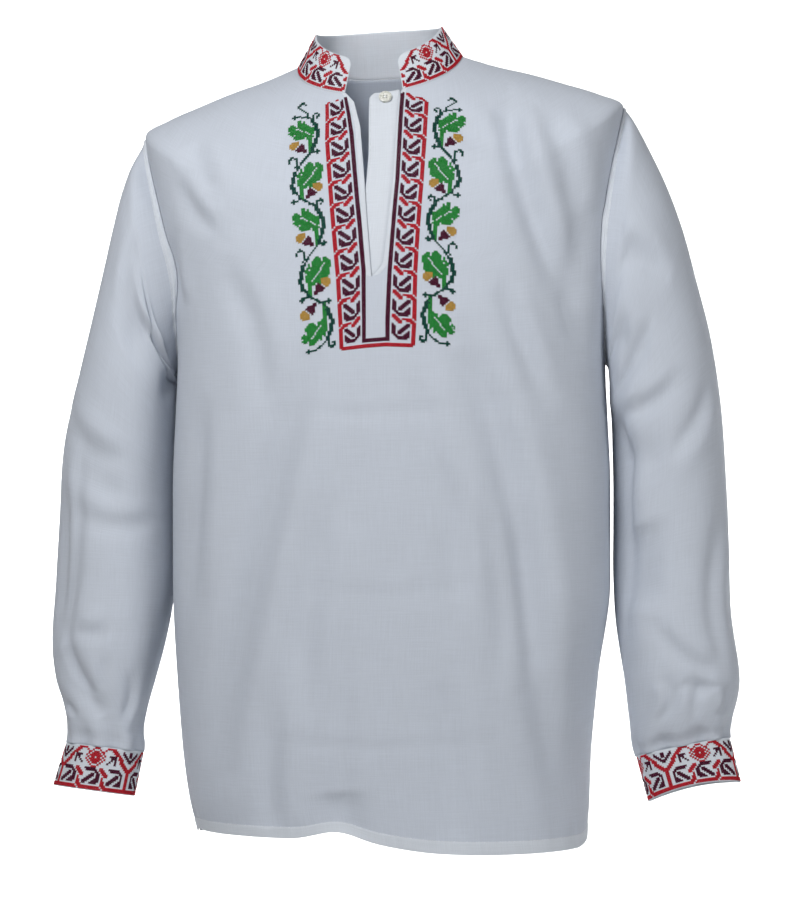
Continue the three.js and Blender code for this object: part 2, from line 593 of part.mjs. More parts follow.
function stripGeometry() {
  const points = [];
  const normals = [];
  for (let r = 0; r <= STRIP_ROWS; r++) {
    const height = STRIP_BOTTOM + ((STRIP_TOP - STRIP_BOTTOM) * r) / STRIP_ROWS;
    const leftTurn = slitTurn("left", Math.max(placeAtHeight(height), SLIT_FOOT + 0.2));
    const slitEdge = Math.cos(leftTurn) * sectionAt(placeAtHeight(height)).half;
    const edge = Math.min(slitEdge + STRIP_UNDER_LEFT, STRIP_MOST_LEFT);
    const rounded = STRIP_CORNER * smooth(STRIP_TOP - STRIP_CORNER, STRIP_TOP, height);
    for (let c = 0; c <= STRIP_COLUMNS; c++) {
      const x = edge - ((STRIP_WIDTH - rounded) * c) / STRIP_COLUMNS;
      const { point, normal } = underFront(x, height, SINGLE_CLOTH + STRIP_GAP);
      points.push(point);
      normals.push(normal);
    }
  }
  const number = (r, c) => r * (STRIP_COLUMNS + 1) + c;
  return wall(points, normals, turned(gridTriangles(STRIP_ROWS, STRIP_COLUMNS, number)), DOUBLE_CLOTH);
}

const wasm = await Module();
wasm.setup();

function solidOf(geometry) {
  const plain = geometry.clone();
  plain.deleteAttribute("normal");
  plain.deleteAttribute("uv");
  const merged = mergeVertices(plain);
  const vertProperties = merged.attributes.position.array;
  const triVerts = new Uint32Array(merged.index.array);
  return new wasm.Manifold(new wasm.Mesh({ numProp: 3, vertProperties, triVerts }));
}

// The button: a disc with a raised rim, a shallow dish and four sewing holes, facing along +Y.
function buttonGeometry() {
  const radius = BUTTON_DIAMETER / 2;
  const half = BUTTON_THICK / 2;
  const profile = [
    [0, -half], [radius - 0.8, -half], [radius, -half + 0.7], [radius, half - 0.6],
    [radius - 0.5, half], [radius - BUTTON_RIM, half], [radius - BUTTON_RIM - 0.6, half - BUTTON_DISH],
    [0, half - BUTTON_DISH],
  ].map(([x, y]) => new THREE.Vector2(x, y));
  let disc = solidOf(new THREE.LatheGeometry(profile, 20));
  for (let k = 0; k < 4; k++) {
    const around = Math.PI / 4 + (Math.PI / 2) * k;
    const hole = new THREE.CylinderGeometry(BUTTON_HOLE / 2, BUTTON_HOLE / 2, 2 * BUTTON_THICK, 6);
    const out = BUTTON_HOLE_CIRCLE / 2;
    hole.translate(out * Math.cos(around), 0, out * Math.sin(around));
    disc = disc.subtract(solidOf(hole));
  }
  const mesh = disc.getMesh();
  const geometry = new THREE.BufferGeometry();
  geometry.setAttribute("position", new THREE.BufferAttribute(mesh.vertProperties, 3));
  geometry.setIndex(new THREE.BufferAttribute(mesh.triVerts, 1));
  geometry.computeVertexNormals();
  return geometry;
}

function buttonMesh(material) {
  const outward = -(BUTTON_THICK / 2 + SEAM_GAP);
  const { point, normal } = underFront(BUTTON_X, BUTTON_Z, SINGLE_CLOTH + STRIP_GAP + outward);
  const mesh = new THREE.Mesh(buttonGeometry(), material);
  mesh.quaternion.setFromUnitVectors(new THREE.Vector3(0, 1, 0), normal);
  mesh.position.copy(point);
  return mesh;
}

// ---- The shirt --------------------------------------------------------------------------------

const finish = (color, roughness) =>
  new THREE.MeshStandardMaterial({ color, roughness, metalness: 0, side: THREE.DoubleSide });
const COTTON = "#dfe4ea";
const STITCHED = "#eceff3";
const PEARL = "#f4f3ee";

const shirt = new THREE.Group();

function add(name, mesh) {
  mesh.name = name;
  shirt.add(mesh);
}

add("front", new THREE.Mesh(frontGeometry(), finish(COTTON, 0.85)));
add("back", new THREE.Mesh(backGeometry(), finish(COTTON, 0.85)));
add("sleeve_left", new THREE.Mesh(sleeveGeometry(SIDES.left), finish(COTTON, 0.85)));
add("sleeve_right", new THREE.Mesh(sleeveGeometry(SIDES.right), finish(COTTON, 0.85)));
add("cuff_left", new THREE.Mesh(cuffGeometry(SIDES.left), finish(STITCHED, 0.85)));
add("cuff_right", new THREE.Mesh(cuffGeometry(SIDES.right), finish(STITCHED, 0.85)));
add("collar", new THREE.Mesh(collarGeometry(), finish(STITCHED, 0.85)));
add("slit_strip", new THREE.Mesh(stripGeometry(), finish(STITCHED, 0.85)));
add("button", buttonMesh(finish(PEARL, 0.3)));

export default shirt;
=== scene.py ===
import json
import math
import bpy
import numpy as np
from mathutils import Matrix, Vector
from mathutils.bvhtree import BVHTree

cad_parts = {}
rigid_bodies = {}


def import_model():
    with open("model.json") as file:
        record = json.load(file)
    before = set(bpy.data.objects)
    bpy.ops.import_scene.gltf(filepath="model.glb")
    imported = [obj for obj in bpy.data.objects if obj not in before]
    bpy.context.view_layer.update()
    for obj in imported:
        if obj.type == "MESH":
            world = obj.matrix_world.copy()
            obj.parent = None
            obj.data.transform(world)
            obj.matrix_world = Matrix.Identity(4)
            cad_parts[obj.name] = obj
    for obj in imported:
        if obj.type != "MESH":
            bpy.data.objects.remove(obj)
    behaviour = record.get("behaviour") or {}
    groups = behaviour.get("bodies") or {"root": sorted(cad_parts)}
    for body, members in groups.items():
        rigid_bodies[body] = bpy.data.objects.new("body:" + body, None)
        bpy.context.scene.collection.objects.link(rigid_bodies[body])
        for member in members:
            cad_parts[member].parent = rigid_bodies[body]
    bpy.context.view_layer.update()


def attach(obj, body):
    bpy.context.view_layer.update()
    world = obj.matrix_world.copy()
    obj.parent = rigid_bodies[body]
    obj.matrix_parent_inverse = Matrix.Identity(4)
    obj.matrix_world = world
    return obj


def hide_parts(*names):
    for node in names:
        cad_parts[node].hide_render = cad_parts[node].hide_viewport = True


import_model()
for carried in bpy.data.objects:
    carried.select_set(False)

MM = 0.001  # the shirt's own sizes are in millimetres


# ---- Studio ----
# A pale paper sweep behind and under the shirt, lit by two lights of its own, a soft light high in
# front of the shirt, a weaker one on the wearer's left, and a camera level with the waist.
CAMERA_TURN = math.radians(6.5)  # the camera stands this far round to the wearer's left
CAMERA_AWAY = 3.0
LOOK_ASIDE = 0.009
LOOK_HEIGHT = -0.377
VIEW_HEIGHT = 0.914  # what the picture takes in at the shirt
SENSOR = 36
FLOOR = -1.8
SWEEP_FRONT, SWEEP_BACK, SWEEP_TOP, SWEEP_SIDE = -4.5, 4.2, 4.0, 5.0
SWEEP_RADIUS = 1.0
SWEEP_STEPS = 12
AMBIENT = 0.16  # strength of the light from all round


def add_object(name, data):
    made = bpy.data.objects.new(name, data)
    bpy.context.scene.collection.objects.link(made)
    return made


def new_material(name):
    """A new material and its shader."""
    material = bpy.data.materials.new(name)
    material.use_nodes = True
    return material, material.node_tree.nodes["Principled BSDF"]


def set_inputs(material, made, inputs):
    """Each input of a node takes a value or the output of another node."""
    for name, value in inputs.items():
        if isinstance(value, bpy.types.NodeSocket):
            material.node_tree.links.new(value, made.inputs[name])
        else:
            made.inputs[name].default_value = value


across = Vector((math.cos(CAMERA_TURN), math.sin(CAMERA_TURN), 0))
away = Vector((math.sin(CAMERA_TURN), -math.cos(CAMERA_TURN), 0))
camera_data = bpy.data.cameras.new("camera")
camera_data.sensor_width = SENSOR
camera_data.lens = SENSOR * CAMERA_AWAY / VIEW_HEIGHT
camera = add_object("camera", camera_data)
camera.location = across * LOOK_ASIDE + away * CAMERA_AWAY + Vector((0, 0, LOOK_HEIGHT))
camera.rotation_euler = (math.pi / 2, 0, CAMERA_TURN)
bpy.context.scene.camera = camera

profile = [(SWEEP_FRONT, FLOOR)]
for step in range(SWEEP_STEPS + 1):
    angle = math.pi / 2 * step / SWEEP_STEPS
    profile.append((
        SWEEP_BACK - SWEEP_RADIUS * (1 - math.sin(angle)),
        FLOOR + SWEEP_RADIUS * (1 - math.cos(angle)),
    ))
profile.append((SWEEP_BACK, SWEEP_TOP))
sweep_mesh = bpy.data.meshes.new("sweep")
sweep_mesh.from_pydata(
    [(side * SWEEP_SIDE, y, z) for y, z in profile for side in (-1, 1)],
    [],
    [(2 * k, 2 * k + 1, 2 * k + 3, 2 * k + 2) for k in range(len(profile) - 1)],
)
sweep_mesh.polygons.foreach_set("use_smooth", [True] * len(sweep_mesh.polygons))
sweep = add_object("sweep", sweep_mesh)
paper, paper_shader = new_material("white_paper")
set_inputs(paper, paper_shader, {
    "Base Color": (0.93, 0.93, 0.93, 1), "Roughness": 0.9, "Specular IOR Level": 0.1,
})
sweep_mesh.materials.append(paper)

world = bpy.data.worlds.new("studio")
world.use_nodes = True
world.node_tree.nodes["Background"].inputs["Color"].default_value = (1, 1, 1, 1)
world.node_tree.nodes["Background"].inputs["Strength"].default_value = AMBIENT
bpy.context.scene.world = world
bpy.context.scene.view_settings.view_transform = "Standard"

LIGHTS = [
    # name, place, looks at, width, height, watts
    ("key", (-0.6, -1.65, 0.95), (0.0, 0.0, -0.15), 0.6, 0.5, 35),
    ("fill", (2.15, -1.65, 0.1), (0.1, 0.0, -0.35), 0.9, 1.0, 20),
    ("backdrop_left", (-2.4, 2.3, -0.2), (-0.5, 4.2, -0.45), 1.0, 2.6, 120),
    ("backdrop_right", (2.4, 2.3, -0.2), (0.5, 4.2, -0.45), 1.0, 2.6, 120),
]
for name, place, aim, width, height, watts in LIGHTS:
    light_data = bpy.data.lights.new(name, "AREA")
    light_data.shape = "RECTANGLE"
    light_data.size, light_data.size_y, light_data.energy = width, height, watts
    light = add_object(name, light_data)
    light.location = place
    light.rotation_euler = (Vector(aim) - Vector(place)).to_track_quat("-Z", "Y").to_euler()


# ---- Front ----
# One panel of plain woven white cotton from the hem to the neck, slit down the middle at the top.
# It is sewn to the back at the shoulders and the sides, with its hem turned up double. The body
# is made from rings, a row of sizes for each from the hem up.
def table(columns, rows):
    """The named columns of a table, each as an array."""
    return dict(zip(columns.split(), np.array(rows, float).T))


BODY = table("side front back half middle ahead behind dip", [
    (-754, -754, -756, 195, 1, 119, 117, 2),
    (-720, -720, -720, 200, -2, 121, 118, 2),
    (-658, -658, -658, 205, -5, 124, 119, 2),
    (-592, -592, -592, 211, -4, 127, 120, 2),
    (-500, -500, -500, 219, 0, 131, 122, 2),
    (-410, -410, -410, 219, 0, 135, 126, 2),
    (-335, -340, -338, 216, 0, 138, 131, 2),
    (-285, -286, -284, 214, 0, 139, 134, 2),
    (-200, -230, -215, 219, 0, 137, 135, 2),
    (-118, -180, -162, 230, 0, 132, 131, 2),
    (-43, -133, -112, 240, 0, 122, 122, 2),
    (-28, -108, -84, 216, 0, 113, 112, 1.9),
    (-16, -85, -58, 184, 0, 103, 101, 1.8),
    (-4, -62, -34, 150, 0, 93, 90, 1.6),
    (6, -41, -12, 116, 0, 83, 78, 1.4),
    (18, -22, 9, 83, 0, 72, 66, 1.2),
])
ARMPIT = 7  # ring where the armholes end
SHOULDER_TIP = 10
NECK = 15
SQUARE = 0.05  # how much squarer than an oval the rings are
ARMHOLE_BOW = 0.38  # how far round the armholes cut in at their middle
VENT_TOP = 1.1  # place where the vents at the hem end
VENT_GAP = 5
SLIT = table("height right left", [
    (-205, -3, -3),
    (-193, -4, 8),
    (-162, -5.5, 13),
    (-110, -8, 19.5),
    (-55, -12.5, 23.5),
    (-30, -19, 25),
    (-22, -27, 27),
])
SLIT_FOOT = 8.5  # place where the slit ends
LEAN = 0.049  # the shoulders lean, the wearer's left one up
LEAN_PIVOT = -200
LEAN_STARTS = -300
LEAN_FULL = -130

# Creases and soft folds, each a trough along a curve from (x1, z1) by (x2, z2) to (x3, z3), with a
# raised lip on its left or, where lip is negative, on its right.
FOLD = "x1 z1 x2 z2 x3 z3 width depth lip"
FRONT_FOLDS = table(FOLD, [
    (-70, -290, -122, -480, -166, -680, 20, 12, 0.3),
    (84, -270, 128, -395, 150, -560, 18, 11, 0.35),
    (140, -450, 156, -590, 184, -735, 18, 10, 0.3),
    (132, -42, 142, -110, 176, -225, 13, 12, 0.4),
    (-184, -60, -172, -85, -160, -110, 14, 5, 0.5),
    (-196, -96, -180, -128, -158, -150, 10, 4, 0.6),
    (-36, -700, -33, -730, -30, -760, 24, 7, 0),
    (-32, -545, -30, -630, -32, -720, 9, 1.6, 0.5),
    (-206, -150, -208, -190, -200, -225, 8, 4, 0.6),
    (168, -58, 186, -100, 190, -150, 12, 5, 0.6),
    (196, -150, 186, -215, 192, -270, 12, 5, 0.5),
    (120, -215, 137, -262, 160, -318, 10, 5, 0.6),
    (100, -430, 117, -500, 120, -585, 11, 5, 0.6),
    (58, -380, 74, -440, 78, -520, 14, 4.5, 0.5),
    (-52, -430, -66, -520, -74, -610, 16, 4.5, 0.5),
    (-176, -330, -182, -420, -190, -520, 12, 5, 0.5),
    (64, -590, 70, -660, 78, -740, 16, 5, 0.5),
    (-100, -600, -106, -680, -102, -745, 14, 4.5, 0.5),
    (190, -560, 192, -640, 190, -720, 12, 5, 0.5),
    (78, -48, 96, -70, 118, -78, 12, 4.5, 0.5),
    (-150, -190, -118, -262, -112, -330, 14, 4, 0.5),
    (40, -300, 52, -350, 60, -400, 12, 3, 0.5),
    (-70, -330, 0, -336, 90, -326, 8, 0.7, 0.4),
    (-90, -500, 10, -508, 110, -498, 8, 0.7, 0.4),
    (-110, -648, 0, -656, 120, -648, 8, 0.7, 0.4),
])


def smooth(low, high, x):
    t = np.clip((x - low) / (high - low), 0, 1)
    return t * t * (3 - 2 * t)


def read(values, t):
    """A smooth curve through a column of a table, read at place t. It never swings past a value."""
    steps = np.diff(values)
    slopes = np.zeros(len(values))
    slopes[0], slopes[-1] = steps[0], steps[-1]
    before, after = steps[:-1], steps[1:]
    rising = before * after > 0
    slopes[1:-1][rising] = 2 * (before * after)[rising] / (before + after)[rising]
    i = np.clip(np.floor(t).astype(int), 0, len(values) - 2)
    f = t - i
    rise = steps[i]
    bend = 3 * rise - 2 * slopes[i] - slopes[i + 1]
    return values[i] + f * (slopes[i] + f * (bend + f * (slopes[i] + slopes[i + 1] - 2 * rise)))


def ring_point(ring, turn):
    """A point of a level ring; turn is counted from the wearer's left, positive to the front."""
    ease = 1 + SQUARE * np.sin(2 * turn) ** 2
    side_share = np.sin(turn)
    centre = np.where(side_share > 0, ring["front"], ring["back"])
    depth = np.where(side_share > 0, ring["ahead"], ring["behind"])
    height = ring["side"] + (centre - ring["side"]) * np.abs(side_share) ** ring["dip"]
    x = ring["middle"] + ring["half"] * np.cos(turn) * ease
    return np.stack([x, -depth * side_share * ease, height], axis=-1)


def body_ring(place):
    return {name: read(values, place) for name, values in BODY.items()}


def normals_of(points, middle, wraps=False):
    """Normals of a grid of points, rows up and columns round, that face away from its middle."""
    if wraps:
        around = np.roll(points, -1, axis=1) - np.roll(points, 1, axis=1)
    else:
        around = np.gradient(points, axis=1)
    normals = np.cross(np.gradient(points, axis=0), around)
    normals /= np.linalg.norm(normals, axis=-1, keepdims=True)
    return normals * np.sign(np.sum(normals * (points - middle), axis=-1).mean())


RUN_OUT = 0.8  # share of a fold's depth that is gone at its ends
CURVE_STEPS = 8


def fold_depth(folds, a, b):
    """How deep the folds of a table lie at the points (a, b) of the face that they are on."""
    total = np.zeros(a.shape)
    curve = np.linspace(0, 1, CURVE_STEPS + 1)
    for k in range(len(folds["width"])):
        p1, p2, p3 = [(folds["x%d" % n][k], folds["z%d" % n][k]) for n in (1, 2, 3)]
        weights = (1 - curve) * (1 - 2 * curve), 4 * curve * (1 - curve), curve * (2 * curve - 1)
        ca, cb = [weights[0] * p1[n] + weights[1] * p2[n] + weights[2] * p3[n] for n in (0, 1)]
        nearest = np.full(a.shape, np.inf)
        side, along = np.zeros(a.shape), np.zeros(a.shape)
        for n in range(CURVE_STEPS):
            da, db = ca[n + 1] - ca[n], cb[n + 1] - cb[n]
            t = np.clip(((a - ca[n]) * da + (b - cb[n]) * db) / (da * da + db * db), 0, 1)
            away_a, away_b = a - ca[n] - t * da, b - cb[n] - t * db
            distance = np.hypot(away_a, away_b)
            closer = distance < nearest
            side = np.where(closer, np.sign(da * away_b - db * away_a), side)
            along = np.where(closer, (n + t) / CURVE_STEPS, along)
            nearest = np.where(closer, distance, nearest)
        width, lip = folds["width"][k], folds["lip"][k]
        depth = folds["depth"][k] * (1 - RUN_OUT * np.abs(2 * along - 1) ** 3)
        total += depth * np.exp(-((nearest / width) ** 2))
        if lip:
            off = nearest * side * np.sign(lip) - 1.5 * width
            total -= abs(lip) * depth * np.exp(-((off / width) ** 2))
    return total


def leaned(points):
    """The shoulders lean: points above the waist are turned a little to the wearer's right."""
    share = LEAN * smooth(LEAN_STARTS, LEAN_FULL, points[..., 2])
    moved = points.copy()
    moved[..., 0] -= share * (points[..., 2] - LEAN_PIVOT)
    moved[..., 2] += share * points[..., 0]
    return moved


def hem_wave(x, front):
    """How far the hem is drawn up at this distance aside."""
    ahead = 1 - 7 * np.tanh((x - 20) / 45) + 8 * np.exp(-(((x + 40) / 28) ** 2))
    return np.where(front, ahead, 5 * np.sin(x / 70))


HEM = 12  # depth of the turned-up hem
HEM_RIDGE = 0.6  # how far its extra layer stands out
HEM_PUCKER = 0.5  # the machine stitches draw the cloth up
PUCKER_PITCH, PUCKER_SPREAD = 2.1, 9
SIDE_FADE = 25  # the folds fade this near to the sides,
NECK_FADE = 1.5  # and over this much of the table under the neck
WAVE_TOP = 1.6  # place where the hem's wave ends
WAVE_FADE = 40  # the wave fades this near to the sides


def body_points(turn, places, folds):
    """The cloth of the front or the back: a row of turns for each of the places in the table."""
    place = np.broadcast_to(places[:, None], turn.shape)
    plain = ring_point(body_ring(place), turn)
    normals = normals_of(plain, plain * (0, 0, 1))
    x, y = plain[..., 0], plain[..., 1]
    fade = np.minimum(1, np.abs(y) / SIDE_FADE) * smooth(0, NECK_FADE, NECK - place)
    points = plain - normals * (fold_depth(folds, x, plain[..., 2]) * fade)[..., None]
    up = plain[..., 2] - plain[:1, :, 2]
    ridge = HEM_RIDGE * (1 - smooth(HEM - 1.5, HEM + 0.5, up))
    pucker = np.sin(x / PUCKER_PITCH + 2 * np.sin(x / 17)) * np.sin(x / 29 + 1)
    pucker *= HEM_PUCKER * np.exp(-(((up - HEM) / PUCKER_SPREAD) ** 2))
    points += normals * (ridge + pucker)[..., None]
    low = (1 - smooth(0, WAVE_TOP, place)) * np.minimum(1, np.abs(points[..., 1]) / WAVE_FADE)
    points[..., 2] += low * hem_wave(points[..., 0], np.sin(turn) > 0)
    return leaned(points)


def edge_turn(place):
    """The turn at which a face starts, counted from its side seam or its armhole."""
    down = np.clip((place - ARMPIT) / (SHOULDER_TIP - ARMPIT), 0, 1)
    vent = VENT_GAP * (1 - smooth(0, VENT_TOP, place))
    return ARMHOLE_BOW * np.abs(np.sin(np.pi * down)) ** 0.8 + vent / read(BODY["behind"], place)


def slit_turn(edge, place):
    """The turn at which the left or the right edge of the slit lies."""
    ring = body_ring(place)
    x = np.interp(ring["front"], SLIT["height"], SLIT[edge])
    return np.pi / 2 - np.arcsin(x / ring["half"])


def cloth_uv(points, wraps=False):
    """Distances along the cloth, in metres, over a grid of points."""
    across_cloth = np.linalg.norm(np.diff(points, axis=1), axis=-1)
    up_cloth = np.linalg.norm(np.diff(points, axis=0), axis=-1)
    middle = points.shape[1] // 2
    u = np.concatenate([np.zeros((len(points), 1)), np.cumsum(across_cloth, axis=1)], axis=1)
    if not wraps:
        u -= u[:, middle:middle + 1]
    v = np.concatenate([[0], np.cumsum(up_cloth.mean(axis=1))])
    return np.stack([u, np.broadcast_to(v[:, None], u.shape)], axis=-1) * MM


def grid_numbers(points):
    return np.arange(points[..., 0].size).reshape(points.shape[:2])


def grid_faces(number):
    """Faces between the vertex numbers of a grid, outwards for rows up and columns left to right."""
    low, high = number[:-1], number[1:]
    corners = [low[:, :-1], low[:, 1:], high[:, 1:], high[:, :-1]]
    return np.stack(corners, axis=-1).reshape(-1, 4)


def new_piece(name, points, faces, uv, material, edge=None):
    """A mesh object from points in millimetres, with its cloth distances and, where it has doubled
    cloth, how far each point lies from the end of that."""
    mesh = bpy.data.meshes.new(name)
    mesh.from_pydata((points.reshape(-1, 3) * MM).tolist(), [], faces.tolist())
    mesh.polygons.foreach_set("use_smooth", [True] * len(mesh.polygons))
    layer = mesh.uv_layers.new(name="cloth")
    corners = np.empty(len(mesh.loops), int)
    mesh.loops.foreach_get("vertex_index", corners)
    layer.data.foreach_set("uv", uv.reshape(-1, 2)[corners].ravel())
    if edge is not None:
        mesh.attributes.new("edge", "FLOAT", "POINT").data.foreach_set("value", edge.ravel())
    mesh.materials.append(material)
    return add_object(name, mesh)


def apply_modifier(piece, kind, **settings):
    modifier = piece.modifiers.new(kind.lower(), kind)
    for setting, value in settings.items():
        setattr(modifier, setting, value)
    bpy.context.view_layer.objects.active = piece
    bpy.ops.object.modifier_apply(modifier=modifier.name)


def give_thickness(piece, millimetres):
    """Cloth has two faces: the inner one lies this far inside, and the cut or folded edge is round."""
    apply_modifier(piece, "SOLIDIFY", thickness=millimetres * MM, offset=-1)
    apply_modifier(
        piece, "BEVEL", width=0.3 * millimetres * MM, segments=1,
        limit_method="ANGLE", angle_limit=math.radians(65),
    )


def node(material, kind, inputs, output=0, **settings):
    """The output of a new shader node of this kind."""
    made = material.node_tree.nodes.new("ShaderNode" + kind)
    for name, value in settings.items():
        setattr(made, name, value)
    set_inputs(material, made, inputs)
    return made.outputs[output]


LIGHT_THROUGH = 0.22  # share of the light that thin cotton lets through


def cotton(name, colour, painted_lighter_colour):
    """Plain woven cotton. Threads run both ways at 22 to the centimetre, some of them thicker. Where the
    edge attribute marks doubled cloth it takes the second, lighter colour: painted light for the light that
    a single layer lets through to the shaded inside.
    """
    material, shader = new_material(name)
    cloth = node(material, "UVMap", {}, uv_map="cloth")
    threads, slubs = [], []
    for direction, stretch in (("X", (30, 900, 1)), ("Y", (900, 30, 1))):
        rows = {"Vector": cloth, "Scale": 690, "Distortion": 0.6}
        threads.append(node(material, "TexWave", rows, "Fac", bands_direction=direction))
        stretched = node(material, "Mapping", {"Vector": cloth, "Scale": stretch})
        slubs.append(node(material, "TexNoise", {"Vector": stretched, "Scale": 1, "Detail": 2}, "Fac"))
    weave = node(material, "Math", {0: threads[0], 1: threads[1]}, operation="MULTIPLY")
    slub = node(material, "Math", {0: slubs[0], 1: slubs[1]}, operation="ADD")
    mottle = node(material, "TexNoise", {"Vector": cloth, "Scale": 22, "Detail": 3}, "Fac")
    # Painted light: cloth marked as doubled is painted lighter, standing in for the light that a single
    # layer lets through to the shaded inside.
    edge = node(material, "Attribute", {}, "Fac", attribute_name="edge")
    doubled = node(material, "Math", {0: edge, 1: 0}, operation="LESS_THAN")
    colours = {0: doubled, 6: (*colour, 1), 7: (*painted_lighter_colour, 1)}
    base = node(material, "Mix", colours, 2, data_type="RGBA")
    shade = node(material, "MapRange", {
        "Value": slub, "From Min": 0.7, "From Max": 1.3, "To Min": 0.965, "To Max": 1.035,
    })
    patchy = node(material, "MapRange", {"Value": mottle, "To Min": 0.97, "To Max": 1.03})
    tone = node(material, "Math", {0: shade, 1: patchy}, operation="MULTIPLY")
    final = node(material, "VectorMath", {0: base, "Scale": tone}, operation="SCALE")
    rough = node(material, "MapRange", {"Value": slubs[0], "To Min": 0.74, "To Max": 0.9})
    fine = node(material, "Bump", {"Height": weave, "Strength": 0.5, "Distance": 0.00006})
    coarse = node(material, "Bump", {
        "Height": slub, "Normal": fine, "Strength": 0.5, "Distance": 0.00025,
    })
    set_inputs(material, shader, {
        "Base Color": final, "Roughness": rough, "Normal": coarse,
        "Specular IOR Level": 0.25, "Sheen Weight": 0.12, "Sheen Roughness": 0.5,
    })
    glow = node(material, "BsdfTranslucent", {"Color": final})
    through = node(material, "MixShader", {0: LIGHT_THROUGH, 1: shader.outputs[0], 2: glow})
    set_inputs(material, material.node_tree.nodes["Material Output"], {"Surface": through})
    return material


# Its second colour paints the doubled hems, slit turnings and felled armhole bands lighter: painted light,
# not a colour of the cloth.
single_cotton = cotton("single_cotton", (0.635, 0.68, 0.755), (0.725, 0.765, 0.82))
HEM_ROWS, ARMHOLE_ROWS, SHOULDER_ROWS = 120, 48, 32
places = np.concatenate([
    np.linspace(0, 0.5, 16, endpoint=False),
    np.linspace(0.5, ARMPIT, HEM_ROWS - 16, endpoint=False),
    np.linspace(ARMPIT, SHOULDER_TIP, ARMHOLE_ROWS, endpoint=False),
    np.linspace(SHOULDER_TIP, NECK, SHOULDER_ROWS + 1),
])
FRONT_HALF = 70  # columns from a side seam to the middle
SINGLE = 0.7  # thickness of one layer of cloth
SLIT_TURNING = 5  # width of the turned-in edge along the slit

open_rows = places > SLIT_FOOT + 1e-6
start = edge_turn(places)
foot_turn = slit_turn("right", np.array([SLIT_FOOT]))[0]
to_left = np.where(open_rows, slit_turn("left", places), foot_turn)
to_right = np.where(open_rows, slit_turn("right", places), foot_turn)
steps = np.linspace(0, 1, FRONT_HALF + 1)
left_turn = start[:, None] + (to_left - start)[:, None] * steps
right_turn = np.pi - start[:, None] + (to_right - np.pi + start)[:, None] * steps
front_points = np.concatenate([
    body_points(right_turn, places, FRONT_FOLDS),
    body_points(left_turn[:, ::-1], places, FRONT_FOLDS),
], axis=1)
front_uv = cloth_uv(front_points)
front_number = grid_numbers(front_points)
front_number[~open_rows, FRONT_HALF + 1] = front_number[~open_rows, FRONT_HALF]
faces = np.concatenate([
    grid_faces(front_number[:, :FRONT_HALF + 1]),
    grid_faces(front_number[:, FRONT_HALF + 1:]),
])
slit_edges = front_uv[:, FRONT_HALF:FRONT_HALF + 2, 0]
own_edge = (np.arange(front_points.shape[1]) > FRONT_HALF).astype(int)
from_slit = np.abs(front_uv[..., 0] - slit_edges[:, own_edge]) / MM
# The hem and slit turnings marked here are painted lighter by the cotton material: painted light.
front_edge = np.minimum(
    front_uv[..., 1] / MM - HEM, np.where(open_rows[:, None], from_slit - SLIT_TURNING, 1),
)
front = new_piece("shirt_front", front_points, faces, front_uv, single_cotton, front_edge)
apply_modifier(front, "WELD", merge_threshold=1e-6)
give_thickness(front, SINGLE)
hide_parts("front")
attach(front, "root")


# ---- Back ----
# One plain panel of the same cotton, joined to the front at the shoulder and side seams down to
# the short vents at the hem. Its folds hang from the shoulder blades.
BACK_FOLDS = table(FOLD, [
    (-150, -90, -130, -160, -110, -230, 24, 8, 0),
    (160, -80, 143, -147, 126, -215, 24, 8, 0),
    (-60, -330, -77, -465, -95, -600, 28, 9, 0),
    (22, -420, 29, -588, 36, -756, 28, 8, 0),
    (100, -320, 121, -470, 142, -620, 26, 10, 0),
    (-170, -250, -150, -330, -158, -420, 14, 5, 0.5),
    (150, -260, 160, -350, 150, -440, 14, 5, 0.5),
    (-20, -180, -34, -260, -30, -350, 16, 4, 0.5),
    (60, -200, 70, -300, 90, -380, 16, 5, 0.5),
    (-130, -560, -140, -640, -134, -720, 16, 5, 0.5),
    (70, -600, 84, -680, 80, -745, 16, 5, 0.5),
    (-40, -620, -30, -690, -36, -750, 14, 4, 0.5),
    (170, -540, 176, -630, 170, -710, 12, 5, 0.5),
])
BACK_COLUMNS = 110
steps = np.linspace(0, 1, BACK_COLUMNS + 1)
back_turn = -start[:, None] - (np.pi - 2 * start)[:, None] * steps
back_points = body_points(back_turn, places, BACK_FOLDS)
back_uv = cloth_uv(back_points)
back_faces = grid_faces(grid_numbers(back_points))
# The back's hem band, marked by its distance from the hem, is painted lighter by the cotton material:
# painted light.
back = new_piece("shirt_back", back_points, back_faces, back_uv, single_cotton, back_uv[..., 1] / MM - HEM)
give_thickness(back, SINGLE)
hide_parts("back")
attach(back, "root")


# ---- Sleeves ----
# Two long sleeves of the same cotton, one piece each with a seam underneath. The head is sewn flat
# into the armhole with a felled seam, and the lower end is gathered into the cuff.
SLEEVE = "outer_x outer_z inner_x inner_z middle reach pitch"
LEFT_SLEEVE = table(SLEEVE, [
    (242, -44, 217, -290, 1, 58, 0),
    (256, -70, 217.5, -296, 3, 63, 0),
    (275, -110, 218, -305, 6, 67, 0),
    (291, -154, 218, -318, 9, 69, 0),
    (304, -203, 219, -336, 12, 70, 0),
    (318, -259, 220, -364, 15, 70, 0),
    (328, -326, 221, -402, 17, 70, 0),
    (333, -398, 221, -446, 18, 68, 2),
    (336, -465, 221, -492, 15, 66, 4),
    (338, -530, 224, -542, 8, 64, 6),
    (346, -586, 233, -598, 0, 60, 7),
    (345, -612, 237, -630, -5, 53, 8),
    (338, -636, 241, -656, -10, 42, 8),
    (336, -653, 246, -672, -13, 30, 8),
    (347, -696, 258, -716, -19, 30, 8),
])
